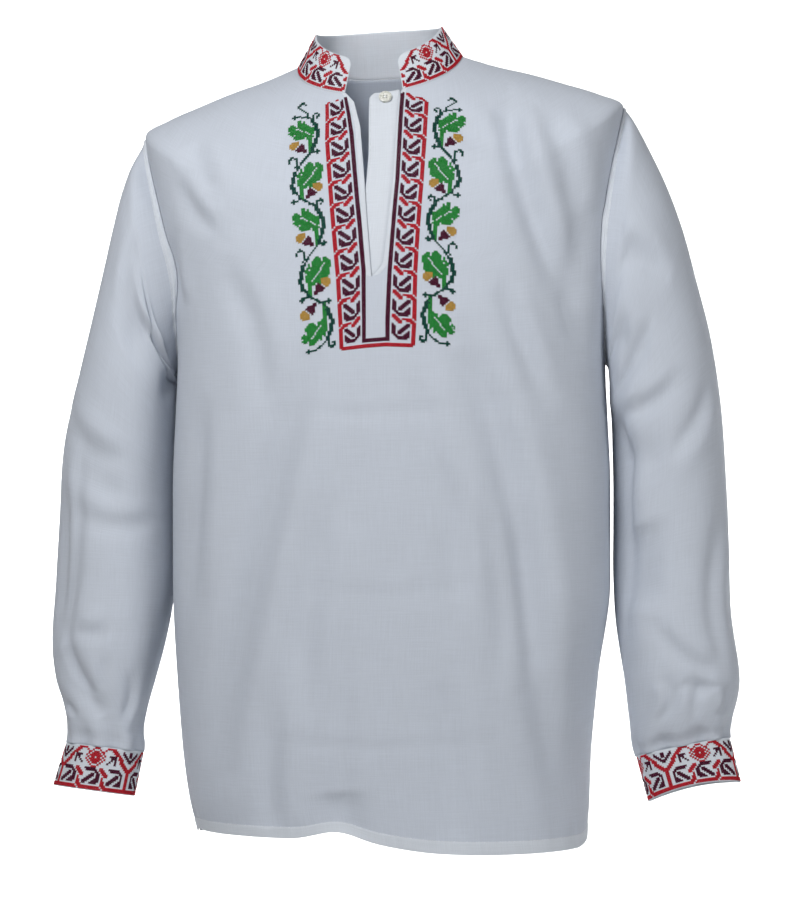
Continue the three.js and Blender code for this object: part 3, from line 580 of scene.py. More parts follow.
RIGHT_SLEEVE = table(SLEEVE, [
    (258, -76, 217, -292, 1, 58, 0),
    (270, -104, 217, -298, 3, 63, 0),
    (280, -140, 218, -308, 6, 67, 0),
    (290, -182, 218, -322, 8, 69, 0),
    (303, -235, 219, -344, 10, 70, 0),
    (319, -299, 220, -376, 12, 70, 0),
    (334, -367, 221, -416, 13, 69, 0),
    (339, -440, 221, -458, 12, 67, 2),
    (342, -508, 222, -508, 8, 64, 4),
    (344, -562, 229, -556, 2, 61, 5),
    (339, -600, 239, -598, -4, 55, 6),
    (330, -626, 246, -626, -9, 47, 7),
    (326, -648, 250, -652, -12, 40, 7),
    (326, -665, 250, -673, -14, 35, 7),
    (338, -707, 258, -717, -20, 35, 7),
])
CUFF_RISE = {1: 6, -1: 0}  # how far the left and the right cuff's lower edge is drawn up in front
SLEEVE_SQUARE = 0.03  # how much squarer than an oval its rings are
TURN_LENGTH = 410  # millimetres round a sleeve
RING_STEP = 46  # millimetres between its rings
SLEEVE_SCALE = np.array([TURN_LENGTH, RING_STEP] * 3 + [1] * 3)
# Each fold runs by three places, given as a share of a turn and a ring. Width, depth and lip follow.
LEFT_SLEEVE_FOLDS = table(FOLD, SLEEVE_SCALE * [
    (0.38, 4.2, 0.31, 4.55, 0.24, 4.9, 20, 7, 0),
    (0.4, 6.4, 0.33, 6.9, 0.26, 7.4, 20, 7, 0),
    (0.33, 8.2, 0.335, 9.05, 0.34, 9.9, 26, 12, 0),
    (0.24, 11.2, 0.2, 11.55, 0.16, 11.9, 16, 6, 0),
    (0.62, 5.6, 0.69, 6.1, 0.76, 6.6, 22, 8, 0),
    (0.66, 8.2, 0.73, 8.45, 0.8, 8.7, 22, 8, 0),
    (0.44, 5.2, 0.4, 7.2, 0.42, 10.5, 18, 12, 0.3),
    (0.27, 1.3, 0.22, 2.7, 0.17, 4.1, 9, 6, 0.6),
    (0.4, 1.6, 0.34, 2.9, 0.33, 4.2, 12, 4, 0.5),
    (0.38, 5.4, 0.3, 6.0, 0.2, 6.2, 10, 4.5, 0.6),
    (0.1, 6.6, 0.16, 7.0, 0.24, 7.2, 10, 4, 0.5),
    (0.08, 8.5, 0.13, 9.6, 0.12, 11, 12, 4, 0.5),
    (0.3, 10.2, 0.22, 10.8, 0.14, 11.0, 9, 4, 0.6),
    (0.32, 12.6, 0.28, 11.9, 0.3, 11.1, 8, 3.5, 0.6),
    (0.2, 12.7, 0.21, 12.1, 0.19, 11.3, 8, 3, 0.6),
    (0.12, 12.7, 0.1, 12.2, 0.12, 11.6, 8, 3, 0.6),
])
RIGHT_SLEEVE_FOLDS = table(FOLD, SLEEVE_SCALE * [
    (0.3, 2.6, 0.27, 3.6, 0.24, 4.6, 22, 10, 0),
    (0.14, 7.0, 0.22, 7.2, 0.3, 7.4, 18, 5, 0),
    (0.1, 7.4, 0.115, 8.8, 0.13, 10.2, 18, 8, 0),
    (0.13, 10.2, 0.2, 11.4, 0.27, 12.6, 18, 8, 0),
    (0.62, 6.4, 0.7, 6.8, 0.78, 7.2, 22, 8, 0),
    (0.68, 9.2, 0.76, 9.4, 0.84, 9.6, 22, 7, 0),
    (0.48, 1.7, 0.36, 2.15, 0.3, 3.1, 9, 6, 0.6),
    (0.48, 2.5, 0.36, 2.2, 0.27, 1.5, 8, 5, 0.6),
    (0.47, 2.3, 0.43, 3.0, 0.41, 4.4, 11, 5, 0.4),
    (0.22, 1.4, 0.2, 2.6, 0.2, 4.0, 8, 3, 0.5),
    (0.3, 6.6, 0.2, 6.75, 0.08, 6.5, 10, 3.5, 0.6),
    (0.38, 7.7, 0.28, 7.95, 0.14, 7.8, 10, 3.5, 0.6),
    (0.16, 7.0, 0.17, 8.4, 0.15, 9.8, 8, 3.5, 0.7),
    (0.15, 9.8, 0.17, 10.6, 0.24, 11.6, 8, 3.5, 0.7),
    (0.28, 9.9, 0.23, 9.95, 0.17, 9.8, 9, 3, 0.6),
    (0.27, 10.5, 0.275, 11, 0.27, 11.6, 8, 3, 0.6),
    (0.1, 12.0, 0.13, 12.3, 0.15, 12.6, 8, 3, 0.6),
    (0.36, 12.6, 0.38, 11.8, 0.36, 11.0, 9, 3.5, 0.6),
])
GATHERS = 8  # round the cuff
GATHER_DEPTH = 2.2
GATHER_RISE = 1.9  # rings that they run up the sleeve


def oval_point(sign, row, share, rise=0.0):
    """A sleeve ring is an oval between its outer and inner sides; share 0.25 is the front."""
    turn = 2 * np.pi * share[..., None]
    outer = np.array([sign * row["outer_x"], row["middle"], row["outer_z"]])
    inner = np.array([sign * row["inner_x"], row["middle"], row["inner_z"]])
    pitch = math.radians(row["pitch"])
    forward = np.array([0, -math.cos(pitch), math.sin(pitch)])
    ease = 1 + SLEEVE_SQUARE * np.sin(2 * turn) ** 2
    point = (outer + inner) / 2 + (outer - inner) / 2 * np.cos(turn) * ease
    point = point + forward * row["reach"] * np.sin(turn) * ease
    return point + np.array([0, 0, rise]) * np.sin(turn) ** 2


def row_of(rows, k):
    return {name: values[k] for name, values in rows.items()}


def spline(p0, p1, p2, p3, f):
    """A smooth curve through four rings, read between the middle two."""
    bend = 2 * p0 - 5 * p1 + 4 * p2 - p3 + f * (3 * (p1 - p2) + p3 - p0)
    return p1 + 0.5 * f * (p2 - p0 + f * bend)


SLEEVE_COLUMNS = 2 * ARMHOLE_ROWS
SLEEVE_ROWS = 150
HEAD_BAND = 9  # width of the felled seam at the armhole
FELL_RIDGE = 1.1
FELL_PUCKER = 0.5
armhole_rows = slice(HEM_ROWS, HEM_ROWS + ARMHOLE_ROWS + 1)
sleeve_cloth = {}
sleeve_rings = {}
for side, sign, rows, folds in (
    ("left", 1, LEFT_SLEEVE, LEFT_SLEEVE_FOLDS),
    ("right", -1, RIGHT_SLEEVE, RIGHT_SLEEVE_FOLDS),
):
    count = len(rows["reach"]) - 1
    share = np.arange(SLEEVE_COLUMNS) / SLEEVE_COLUMNS
    ahead = front_points[armhole_rows, -1 if sign > 0 else 0][::-1]
    behind = back_points[armhole_rows, 0 if sign > 0 else -1]
    loop = np.concatenate([ahead, behind[1:-1]])
    rings = [loop] + [oval_point(sign, row_of(rows, k), share) for k in range(count)]
    rings.append(oval_point(sign, row_of(rows, count), share, CUFF_RISE[sign]))
    rings = np.array([2 * rings[0] - rings[1]] + rings)
    along = np.concatenate([np.linspace(0, 0.3, 14, endpoint=False), np.linspace(0.3, count, SLEEVE_ROWS)])
    i = np.minimum(np.floor(along).astype(int), count - 1)
    plain = spline(rings[i], rings[i + 1], rings[i + 2], rings[i + 3], (along - i)[:, None, None])
    normals = normals_of(plain, plain.mean(axis=1, keepdims=True), wraps=True)
    along_grid, share_grid = np.meshgrid(along, share, indexing="ij")
    below = count - along_grid
    clear = smooth(0.1, 0.9, along_grid) * smooth(-0.2, 0.6, below)
    gathered = np.cos(2 * np.pi * GATHERS * share_grid)
    gathered *= GATHER_DEPTH * (1 - smooth(0.15, GATHER_RISE, below))
    felled = FELL_RIDGE * smooth(0, 0.04, along_grid) * (1 - smooth(0.16, 0.21, along_grid))
    wavy = FELL_PUCKER * np.sin(150 * share_grid + 3 * np.sin(19 * share_grid))
    wavy *= np.exp(-(((along_grid - 0.2) / 0.15) ** 2)) * smooth(0, 0.1, along_grid)
    folded = clear * fold_depth(folds, share_grid * TURN_LENGTH, along_grid * RING_STEP)
    points = plain + normals * (gathered + felled + wavy - folded)[..., None]
    closed = np.concatenate([points, points[:, :1]], axis=1)
    uv = cloth_uv(closed, wraps=True)
    faces = grid_faces(grid_numbers(closed)[:, ::sign])
    # The felled band at the head, marked here, is painted lighter by the cotton material: a painted
    # highlight along the raised felled seam.
    sleeve = new_piece("shirt_sleeve_" + side, closed, faces, uv, single_cotton, uv[..., 1] / MM - HEAD_BAND)
    apply_modifier(sleeve, "WELD", merge_threshold=1e-6)
    give_thickness(sleeve, SINGLE)
    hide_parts("sleeve_" + side)
    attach(sleeve, "root")
    sleeve_cloth[side] = closed, uv
    sleeve_rings[side] = [(sign, row_of(rows, k)) for k in (count - 1, count)]


# ---- Cuffs ----
# Closed bands of doubled cotton, cross-stitched all round before they are folded, and sewn over the
# gathered ends of the sleeves.
# Painted light: the doubled cuffs, collar and slit strip are painted lighter all over, for the light that a
# single layer lets through to the shaded inside.
double_cotton_painted_lighter = cotton("double_cotton_painted_lighter", (0.725, 0.765, 0.82), (0.725, 0.765, 0.82))
CUFF_OUT = 0.6  # the cuff lies this far out from the sleeve's ring
DOUBLE = 1.3  # thickness of two layers
CUFF_COLUMNS, CUFF_ROWS = 112, 18


def cuff_points(side, share, down):
    """Points of a cuff's outer face: share round it as on the sleeve, down from its seam."""
    (sign, upper_ring), (sign, lower_ring) = sleeve_rings[side]
    upper = oval_point(sign, upper_ring, share)
    lower = oval_point(sign, lower_ring, share, CUFF_RISE[sign])
    return upper + (lower - upper) * down[..., None]


for side, sign in (("left", 1), ("right", -1)):
    down, share = np.meshgrid(
        np.linspace(0, 1, CUFF_ROWS + 1), np.linspace(0, 1, CUFF_COLUMNS + 1), indexing="ij",
    )
    points = cuff_points(side, share, down)
    normals = normals_of(points[:, :-1], points.mean(axis=1, keepdims=True), wraps=True)
    points += np.concatenate([normals, normals[:, :1]], axis=1) * CUFF_OUT
    faces = grid_faces(grid_numbers(points)[:, ::sign])
    cuff = new_piece("shirt_cuff_" + side, points, faces, cloth_uv(points, wraps=True), double_cotton_painted_lighter)
    apply_modifier(cuff, "WELD", merge_threshold=1e-6)
    give_thickness(cuff, DOUBLE)
    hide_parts("cuff_" + side)
    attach(cuff, "root")


# ---- Collar ----
# A stand collar of doubled cotton with rounded front corners, open at the front. It is sewn to the
# neck edge and leans in to the neck.
COLLAR_TOP = {
    "side": 50, "front": 15, "back": 57, "half": 63, "middle": 0, "ahead": 51, "behind": 62, "dip": 1.3,
}
COLLAR_OPENING = 28  # half of its width
COLLAR_CORNER = 9  # radius of the front corners
COLLAR_COLUMNS, COLLAR_ROWS = 170, 16
neck_ring = body_ring(np.array(float(NECK)))


def collar_points(turn, rise):
    """Points of the collar's outer face: turn as on the body, rise from the neck seam."""
    lower = ring_point(neck_ring, turn)
    return leaned(lower + (ring_point(COLLAR_TOP, turn) - lower) * rise[..., None])


end_turn = np.pi / 2 - math.asin(COLLAR_OPENING / BODY["half"][NECK])
sweep_turn = 2 * end_turn + np.pi
turns = end_turn - sweep_turn * np.linspace(0, 1, COLLAR_COLUMNS + 1)
ends = collar_points(np.array([end_turn, end_turn]), np.array([0.0, 1.0]))
collar_height = np.linalg.norm(ends[1] - ends[0])
from_end = np.minimum(end_turn - turns, turns - end_turn + sweep_turn) * COLLAR_TOP["half"]
in_corner = np.maximum(0, COLLAR_CORNER - from_end)
top = 1 - (COLLAR_CORNER - np.sqrt(COLLAR_CORNER ** 2 - in_corner ** 2)) / collar_height
rise = np.linspace(0, 1, COLLAR_ROWS + 1)[:, None] * top
points = collar_points(np.broadcast_to(turns, rise.shape), rise)
faces = grid_faces(grid_numbers(points))
collar = new_piece("shirt_collar", points, faces, cloth_uv(points), double_cotton_painted_lighter)
give_thickness(collar, DOUBLE)
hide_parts("collar")
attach(collar, "root")


# ---- Slit strip ----
# A strip of doubled cotton behind the slit, sewn under its left edge and lying free under the right
# one. It carries the button near its top.
STRIP_TOP = -19.5
STRIP_BOTTOM = -214
STRIP_UNDER = 4  # it reaches this far under the slit's left edge,
STRIP_MOST_LEFT = 25.5  # but no farther than this
STRIP_BEHIND = 2.1  # from the front's outer face
STRIP_STRAIGHT = -200  # below this height it runs straight down
STRIP_WIDTH = 30
STRIP_CORNER = 5
STRIP_ROWS, STRIP_COLUMNS = 70, 16


def under_front(x, height, depth):
    """Points this far inside the front's plain form, at a distance x from its middle line, and the
    normals there. Above the neck edge they go straight on upwards."""
    dense = np.linspace(0, NECK, 3001)
    place = np.interp(height, read(BODY["front"], dense), dense)
    turn = np.pi / 2 - np.arcsin(x / read(BODY["half"], place))
    plain = ring_point(body_ring(place), turn)
    just_below = ring_point(body_ring(place - 0.2), turn)
    beside = ring_point(body_ring(place), turn - 0.02)
    upwards = plain - just_below
    upwards /= np.linalg.norm(upwards, axis=-1, keepdims=True)
    normals = np.cross(beside - plain, upwards)
    normals /= np.linalg.norm(normals, axis=-1, keepdims=True)
    above = np.maximum(0, height - BODY["front"][NECK])
    return leaned(plain + upwards * above[..., None] - normals * depth), normals


height = np.linspace(STRIP_BOTTOM, STRIP_TOP, STRIP_ROWS + 1)[:, None]
slit_left = np.interp(np.maximum(height, STRIP_STRAIGHT), SLIT["height"], SLIT["left"])
left_edge = np.minimum(slit_left + STRIP_UNDER, STRIP_MOST_LEFT)
width = STRIP_WIDTH - STRIP_CORNER * smooth(STRIP_TOP - STRIP_CORNER, STRIP_TOP, height)
x = left_edge - width * (1 - np.linspace(0, 1, STRIP_COLUMNS + 1))
strip_points, strip_normals = under_front(x, np.broadcast_to(height, x.shape), STRIP_BEHIND)
faces = grid_faces(grid_numbers(strip_points))
strip = new_piece("shirt_slit_strip", strip_points, faces, cloth_uv(strip_points), double_cotton_painted_lighter)
give_thickness(strip, DOUBLE)
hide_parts("slit_strip")
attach(strip, "root")


# ---- Button ----
# A round pearl-white shirt button with a raised rim, a dish and four holes, sewn to the slit strip
# near its top with a cross of white thread.
BUTTON_DIAMETER = 12.5
BUTTON_THICK = 2.6
BUTTON_HOLE = 1.5
FACE_STEPS = [(0.5, 0.3), (0.9, 0.0), (0.7, -0.8), (1.6, -0.1)]  # width and rise, rim to dish
HOLE_FROM_MIDDLE = 1.7
BUTTON_X, BUTTON_Z = 11.5, -26.4
BUTTON_GAP = 0.3  # room between the button and the strip


def object_from_ops(name):
    made = bpy.context.object
    made.name = name
    return made


def deselect():
    for other in bpy.context.selected_objects:
        other.select_set(False)


deselect()
bpy.ops.mesh.primitive_cylinder_add(vertices=64, radius=BUTTON_DIAMETER / 2 * MM, depth=BUTTON_THICK * MM)
button = object_from_ops("shirt_button")
bpy.ops.object.mode_set(mode="EDIT")
bpy.ops.mesh.select_mode(type="FACE")
bpy.ops.mesh.select_all(action="DESELECT")
bpy.ops.object.mode_set(mode="OBJECT")
for face in button.data.polygons:
    face.select = face.normal.z > 0.9
bpy.ops.object.mode_set(mode="EDIT")
for width, rise in FACE_STEPS:
    bpy.ops.mesh.inset(thickness=width * MM, depth=rise * MM)
bpy.ops.object.mode_set(mode="OBJECT")
for k in range(4):
    angle = math.pi / 4 + k * math.pi / 2
    aside, up = HOLE_FROM_MIDDLE * math.cos(angle) * MM, HOLE_FROM_MIDDLE * math.sin(angle) * MM
    deselect()
    bpy.ops.mesh.primitive_cylinder_add(
        vertices=20, radius=BUTTON_HOLE / 2 * MM, depth=8 * MM, location=(aside, up, 0),
    )
    cutter = object_from_ops("hole")
    apply_modifier(button, "BOOLEAN", object=cutter, operation="DIFFERENCE", solver="EXACT")
    bpy.data.objects.remove(cutter)
apply_modifier(
    button, "BEVEL", width=0.22 * MM, segments=2, limit_method="ANGLE", angle_limit=math.radians(40),
)

pearl, pearl_shader = new_material("pearl")
pearl_place = node(pearl, "TexCoord", {}, "Object")
clouds = {"Vector": pearl_place, "Scale": 260, "Detail": 3, "Distortion": 1.6}
pearl_tint = node(pearl, "ValToRGB", {"Fac": node(pearl, "TexNoise", clouds, "Fac")})
ramp = pearl_tint.node.color_ramp.elements
ramp[0].position, ramp[0].color = 0.3, (0.36, 0.39, 0.31, 1)
ramp[1].position, ramp[1].color = 0.62, (0.80, 0.79, 0.75, 1)
set_inputs(pearl, pearl_shader, {
    "Base Color": pearl_tint, "Roughness": 0.16, "Coat Weight": 0.4, "Coat Roughness": 0.08,
})

spot, facing = under_front(
    np.full((3, 3), float(BUTTON_X)), np.full((3, 3), float(BUTTON_Z)),
    np.full((3, 3, 1), STRIP_BEHIND - BUTTON_THICK / 2 - BUTTON_GAP),
)
outward = Vector(facing[1, 1])
stand = outward.to_track_quat("Z", "Y").to_matrix()
button_place = Vector(spot[1, 1]) * MM
for vertex in button.data.vertices:
    vertex.co = stand @ vertex.co + button_place
deselect()
button.select_set(True)
bpy.context.view_layer.objects.active = button
bpy.ops.object.shade_smooth_by_angle(angle=math.radians(35))
button.data.materials.append(pearl)
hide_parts("button")
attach(button, "root")


# ---- Embroidery ----
# Counted cross-stitch in stranded cotton, about 14 crosses to 25 mm: two crossing legs a stitch, the
# upper one always lying the same way. Every leg is a slim pad of thread with its ends in the cloth.
STITCH = 1.84  # width of one cross
LEG_WIDTH = 1.6
LEG_HEIGHT = 0.5
LEG_LIFT = 0.16  # the upper leg rides over the lower one
LEG_SEAT = 0.05  # height of the lower one's middle over the cloth
rng = np.random.default_rng(7)


def slim_pad(length, width, height, turn, lift):
    """One thread leg: a three-sided sphere drawn out along its poles."""
    deselect()
    bpy.ops.mesh.primitive_uv_sphere_add(segments=3, ring_count=3, radius=0.5)
    pad = object_from_ops("leg")
    pad.rotation_euler = (0, math.pi / 2, 0)
    bpy.ops.object.transform_apply(location=False, rotation=True, scale=False)
    pad.scale = (length, width, height)
    pad.rotation_euler = (0, 0, turn)
    pad.location = (0, 0, lift)
    bpy.ops.object.transform_apply()
    return pad


def arrays_of(pads):
    """Vertices and triangles of some pads together; the pads are then gone."""
    points, triangles = [], []
    count = 0
    for pad in pads:
        pad.data.calc_loop_triangles()
        points += [tuple(vertex.co) for vertex in pad.data.vertices]
        triangles += [[count + k for k in triangle.vertices] for triangle in pad.data.loop_triangles]
        count += len(pad.data.vertices)
        bpy.data.objects.remove(pad)
    return np.array(points), np.array(triangles)


LEG_LENGTH = STITCH * 1.85
CROSS = arrays_of([
    slim_pad(LEG_LENGTH, LEG_WIDTH, LEG_HEIGHT, math.pi / 4, LEG_SEAT),
    slim_pad(LEG_LENGTH, LEG_WIDTH, LEG_HEIGHT, -math.pi / 4, LEG_SEAT + LEG_LIFT),
])


def thread(name, colour):
    """Stranded cotton: each stitch a little lighter or darker, with the twist of its plies."""
    material, shader = new_material(name)
    shade = node(material, "Attribute", {}, "Fac", attribute_name="shade")
    place = node(material, "TexCoord", {}, "Object")
    fibre = node(material, "TexNoise", {"Vector": place, "Scale": 1900, "Detail": 2}, "Fac")
    twist = {"Vector": place, "Scale": 900, "Distortion": 2}
    plies = node(material, "TexWave", twist, "Fac", bands_direction="DIAGONAL")
    lighter = node(material, "MapRange", {"Value": plies, "To Min": 0.82, "To Max": 1.18})
    tone = node(material, "Math", {0: lighter, 1: shade}, operation="MULTIPLY")
    final = node(material, "VectorMath", {0: colour, "Scale": tone}, operation="SCALE")
    coarse = node(material, "Bump", {"Height": plies, "Strength": 0.6, "Distance": 0.00012})
    fine = node(material, "Bump", {
        "Height": fibre, "Normal": coarse, "Strength": 0.4, "Distance": 0.00006,
    })
    set_inputs(material, shader, {
        "Base Color": final, "Normal": fine, "Roughness": 0.75, "Specular IOR Level": 0.06,
        "Sheen Weight": 0.02, "Sheen Roughness": 0.4,
    })
    return material


THREADS = {
    # letter in a chart: slot, colour
    "r": ("thread_red", (0.54, 0.020, 0.034)),
    "b": ("thread_burgundy", (0.085, 0.009, 0.032)),
    "g": ("thread_green", (0.028, 0.28, 0.052)),
    "d": ("thread_dark_green", (0.007, 0.070, 0.050)),
    "y": ("thread_gold", (0.54, 0.32, 0.07)),
}
thread_materials = {slot: thread(slot, colour) for slot, colour in THREADS.values()}


def place_stitches(name, unit, middles, rights, ups, material):
    """Copies of one stitch as a single mesh: one copy at each middle, along its right and up."""
    points, triangles = unit
    outs = np.cross(rights, ups)
    outs /= np.linalg.norm(outs, axis=-1, keepdims=True)
    wobble = rng.uniform(-0.05, 0.05, (len(middles), 2, 1))
    placed = (
        middles[:, None]
        + points[None, :, :1] * (rights * (1 + wobble[:, 0]))[:, None]
        + points[None, :, 1:2] * (ups * (1 + wobble[:, 1]))[:, None]
        + points[None, :, 2:] * outs[:, None]
    )
    offsets = np.arange(len(middles))[:, None, None] * len(points)
    faces = (triangles[None] + offsets).reshape(-1, 3)
    mesh = bpy.data.meshes.new(name)
    mesh.from_pydata((placed.reshape(-1, 3) * MM).tolist(), [], faces.tolist())
    mesh.polygons.foreach_set("use_smooth", [True] * len(mesh.polygons))
    shades = np.repeat(rng.uniform(0.86, 1.12, len(middles)), len(points))
    mesh.attributes.new("shade", "FLOAT", "POINT").data.foreach_set("value", shades)
    mesh.materials.append(material)
    piece = add_object(name, mesh)
    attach(piece, "root")


def embroider(name, cells, surface, rightwards=1):
    """Cross-stitch on a surface. cells maps (column, row) to a chart letter; surface turns columns
    and rows, given as arrays, into points in millimetres. rightwards is -1 where the columns are
    counted to the left."""
    for letter, (slot, colour) in THREADS.items():
        chosen = [cell for cell, mark in sorted(cells.items()) if mark == letter]
        if not chosen:
            continue
        columns, rows = np.array(chosen, float).T + 0.5
        half = 0.5 * rightwards
        steps = (0, 0), (half, 0), (-half, 0), (0, -0.5), (0, 0.5)
        sides = [surface(columns + dc, rows + dr) for dc, dr in steps]
        on_cloth = np.all([np.isfinite(side).all(axis=-1) for side in sides], axis=0)
        middle, right, left, above, below = [side[on_cloth] for side in sides]
        rights, ups = (right - left) / STITCH, (above - below) / STITCH
        piece_name = name + slot.removeprefix("thread")
        place_stitches(piece_name, CROSS, middle, rights, ups, thread_materials[slot])


# ---- Embroidery of the front ----
# Two bands of red and burgundy hooks run down beside the slit and meet under it; outside each a
# vine of oak leaves and acorns. Both are mirrored across the slit. Columns are counted outwards
# from a band's inner line and rows downwards.
HOOK_BAND = [
    "bb.rr.bbbbb..rr",
    "bb.rrr.......rr",
    "bb..rrr.rrrrr.r",
    "bb...rrr..rrrr.",
    "bb....rr....rrr",
    "bb.b......bb.rr",
    "bb.bb....bbb.rr",
    "bb.bb...bbb..rr",
    "bb.bb..bbb...rr",
    "bb.bb.bbb..b.rr",
    "bb.bb.bb..bb.rr",
    "bb..bb...bbb.rr",
    "bb...bbbbbbb.rr",
]
REPEATS = 11
INNER_LINE = 1  # column that the inner line's middle has
OUTER_LINE = 14
BAND_LINES = "row inner_x inner_z outer_x outer_z"
LEFT_BAND = table(BAND_LINES, [
    (-4, 19.9, -15.6, 43.4, -19.4),
    (0, 19.8, -21.1, 43.8, -25.0),
    (16, 19.6, -43.0, 43.9, -45.8),
    (29, 19.6, -64.6, 43.9, -67.2),
    (55, 19.5, -110.0, 43.1, -112.5),
    (81, 17.1, -154.0, 40.9, -156.3),
    (107, 14.4, -199.0, 38.9, -201.2),
    (133, 12.8, -245.4, 38.4, -247.3),
    (147, 12.8, -269.8, 37.1, -270.7),
    (163, 12.8, -297.5, 37.0, -298.5),
])
RIGHT_BAND = table(BAND_LINES, [
    (-4, -40.5, -13.0, -55.5, -19.0),
    (4.5, -36.2, -26.2, -54.0, -31.5),
    (16, -31.9, -42.8, -52.3, -50.1),
    (29, -27.7, -63.3, -51.4, -69.5),
    (55, -21.5, -108.1, -45.8, -113.5),
    (81, -15.6, -152.4, -40.6, -158.0),
    (107, -10.7, -198.8, -35.5, -204.4),
    (133, -9.9, -247.2, -32.3, -252.7),
    (147, -9.8, -271.3, -31.3, -273.8),
    (163, -9.8, -298.5, -31.0, -300.0),
])
VINE_FALL = {1: 0.15, -1: 0.36}  # millimetres that the rows fall for each column outside a band
FAR_AHEAD = 0.4  # rays on to the front start here

front_tree = BVHTree.FromPolygons(
    [vertex.co for vertex in front.data.vertices], [face.vertices[:] for face in front.data.polygons],
)


def on_front(x, z):
    """Points of the front's outer face at these distances aside and these heights."""
    found = np.full(x.shape + (3,), np.nan)
    for k in range(len(x)):
        hit = front_tree.ray_cast(Vector((x[k] * MM, -FAR_AHEAD, z[k] * MM)), Vector((0, 1, 0)))[0]
        if hit and hit.y < 0:
            found[k] = np.array(hit) / MM
    return found


def front_grid(sign):
    """The surface that the columns and rows of one side's band and vine lie on."""
    lines = LEFT_BAND if sign > 0 else RIGHT_BAND

    def surface(columns, rows):
        inner_x, inner_z, outer_x, outer_z = [
            np.interp(rows, lines["row"], lines[name]) for name in BAND_LINES.split()[1:]
        ]
        across = (np.minimum(columns, OUTER_LINE) - INNER_LINE) / (OUTER_LINE - INNER_LINE)
        outside = np.maximum(0, columns - OUTER_LINE)
        x = inner_x + (outer_x - inner_x) * across + sign * STITCH * outside
        z = inner_z + (outer_z - inner_z) * across - VINE_FALL[sign] * outside
        return on_front(x, z)

    return surface


def lay(cells, chart, column, row, flip=False, upside_down=False):
    """Copy a chart into cells, its first letter at (column, row) and its columns going inwards."""
    lines = chart[::-1] if upside_down else chart
    for down, line in enumerate(lines):
        for along, letter in enumerate(line[::-1] if flip else line):
            if letter != ".":
                cells[column - along, round(row) + down] = letter


def draw_line(cells, corners, letter, thick_where_steep=False):
    """A line of stitches through corners given as (column, row)."""
    for (c1, r1), (c2, r2) in zip(corners, corners[1:]):
        count = int(2 * max(abs(c2 - c1), abs(r2 - r1))) + 1
        steep = abs(c2 - c1) < 0.6 * abs(r2 - r1)
        for t in np.linspace(0, 1, count + 1):
            column, row = math.floor(c1 + (c2 - c1) * t), math.floor(r1 + (r2 - r1) * t)
            cells[column, row] = letter
            if thick_where_steep and steep:
                cells[column + 1, row] = letter


LEAF_OUTWARDS = [
    ".....gg.......",
    ".....gg.g.....",
    ".gg..gggg.....",
    "gggg.ggggg....",
    "ggggggggggg...",
    "gggg..gggggg..",
    ".ggggg.ggggggg",
    "ggggggg.gggggg",
    ".gggggggg.gggg",
    "..g.gggggg.ggg",
    "...gggggggg.gg",
    "...gggggggggg.",
    "....ggggg.gggg",
    "..........ggg.",
]
LEAF_INWARDS = [
    "......gg......",
    ".....gggg.gg..",
    "....ggggg.ggg.",
    "..g.gggggggggg",
    "..g.gggggg.ggg",
    ".gggggggg.gggg",
    "gg.ggggg.ggggg",
    "gggggggg.gggg.",
    ".gggggg.ggggg.",
    "gggggg.gggggg.",
    "ggggg.ggggggg.",
    "gggg.ggggggg..",
    "ggg.gggggg....",
    ".ggggggg.g....",
    "..ggg.gg......",
]
LEAF_DOWNWARDS = [
    "...........gg.",
    "....ggg..gggg.",
    "...ggggg.ggggg",
    "..gggggggg.ggg",
    "..ggggggg.gggg",
    "...ggggg.ggggg",
    ".g.gggg.gggggg",
    "ggggggg.ggggg.",
    "gggggg.gggggg.",
    ".gggg.ggggg.g.",
    "ggggggggggg...",
    ".gg.ggggg.g...",
    "....gggg......",
    "....ggg.......",
]
ACORN = [
    ".yyyy....",
    "yyyyy....",
    "yyyyy.b..",
    "yyyy.bbb.",
    ".yy.bbbb.",
    "...bbbbb.",
    "....bbbbb",
    ".......bb",
]
BUD = [".d.", "ddd", ".d."]
VINE_PERIOD = 53.5
VINE_STEM = [  # corners as (column, row)
    (24.2, 11), (21.7, 13.8), (20.1, 16.5), (19, 20), (18.8, 25.4), (19.5, 28.5), (21.9, 33.4),
    (26.1, 37.5), (28.5, 40.1), (31, 44), (32.6, 48.5), (33.3, 52.6), (32, 56.5), (29.5, 60.5),
    (25.8, 63.3), (24.2, 64.8),
]
CURLS_AND_STALKS = [
    [(21.3, 14), (21.4, 10.3), (19.8, 9.3), (18.5, 10.6), (19.4, 12)],
    [(31, 41.5), (30.8, 36.8), (32.6, 35.2), (34.4, 36.9), (34.1, 38.4)],
    [(32.5, 61.2), (29.2, 60.8)],
    [(20, 34.7), (22.5, 34.2)],
]
LEAF_STALKS = [[(22.1, 24.5), (22.3, 33.5)], [(28.8, 52.5), (28.9, 60)]]
END_STEM = [
    (24.2, 118), (20, 122.2), (19.1, 125), (17.9, 128.4), (18, 130.9), (18.9, 134.4), (20.4, 138.3),
    (23.8, 141.8), (28.1, 144.9), (30.5, 144.5),
]
END_LINES = [
    [(20.4, 139.8), (20, 143), (19.1, 144.5), (17.7, 143.3), (18, 141.5)],
    [(20, 118.8), (23, 118.8)],
]
TOP_LINES = [
    [(24.2, 11), (24.4, 8.5), (29.5, 3.3), (28.3, 1.8), (26.7, 0.7), (25.7, 2.1)],
    [(31, 9.6), (25, 10.4)],
]


def moved(corners, rows):
    return [(column, row + rows) for column, row in corners]


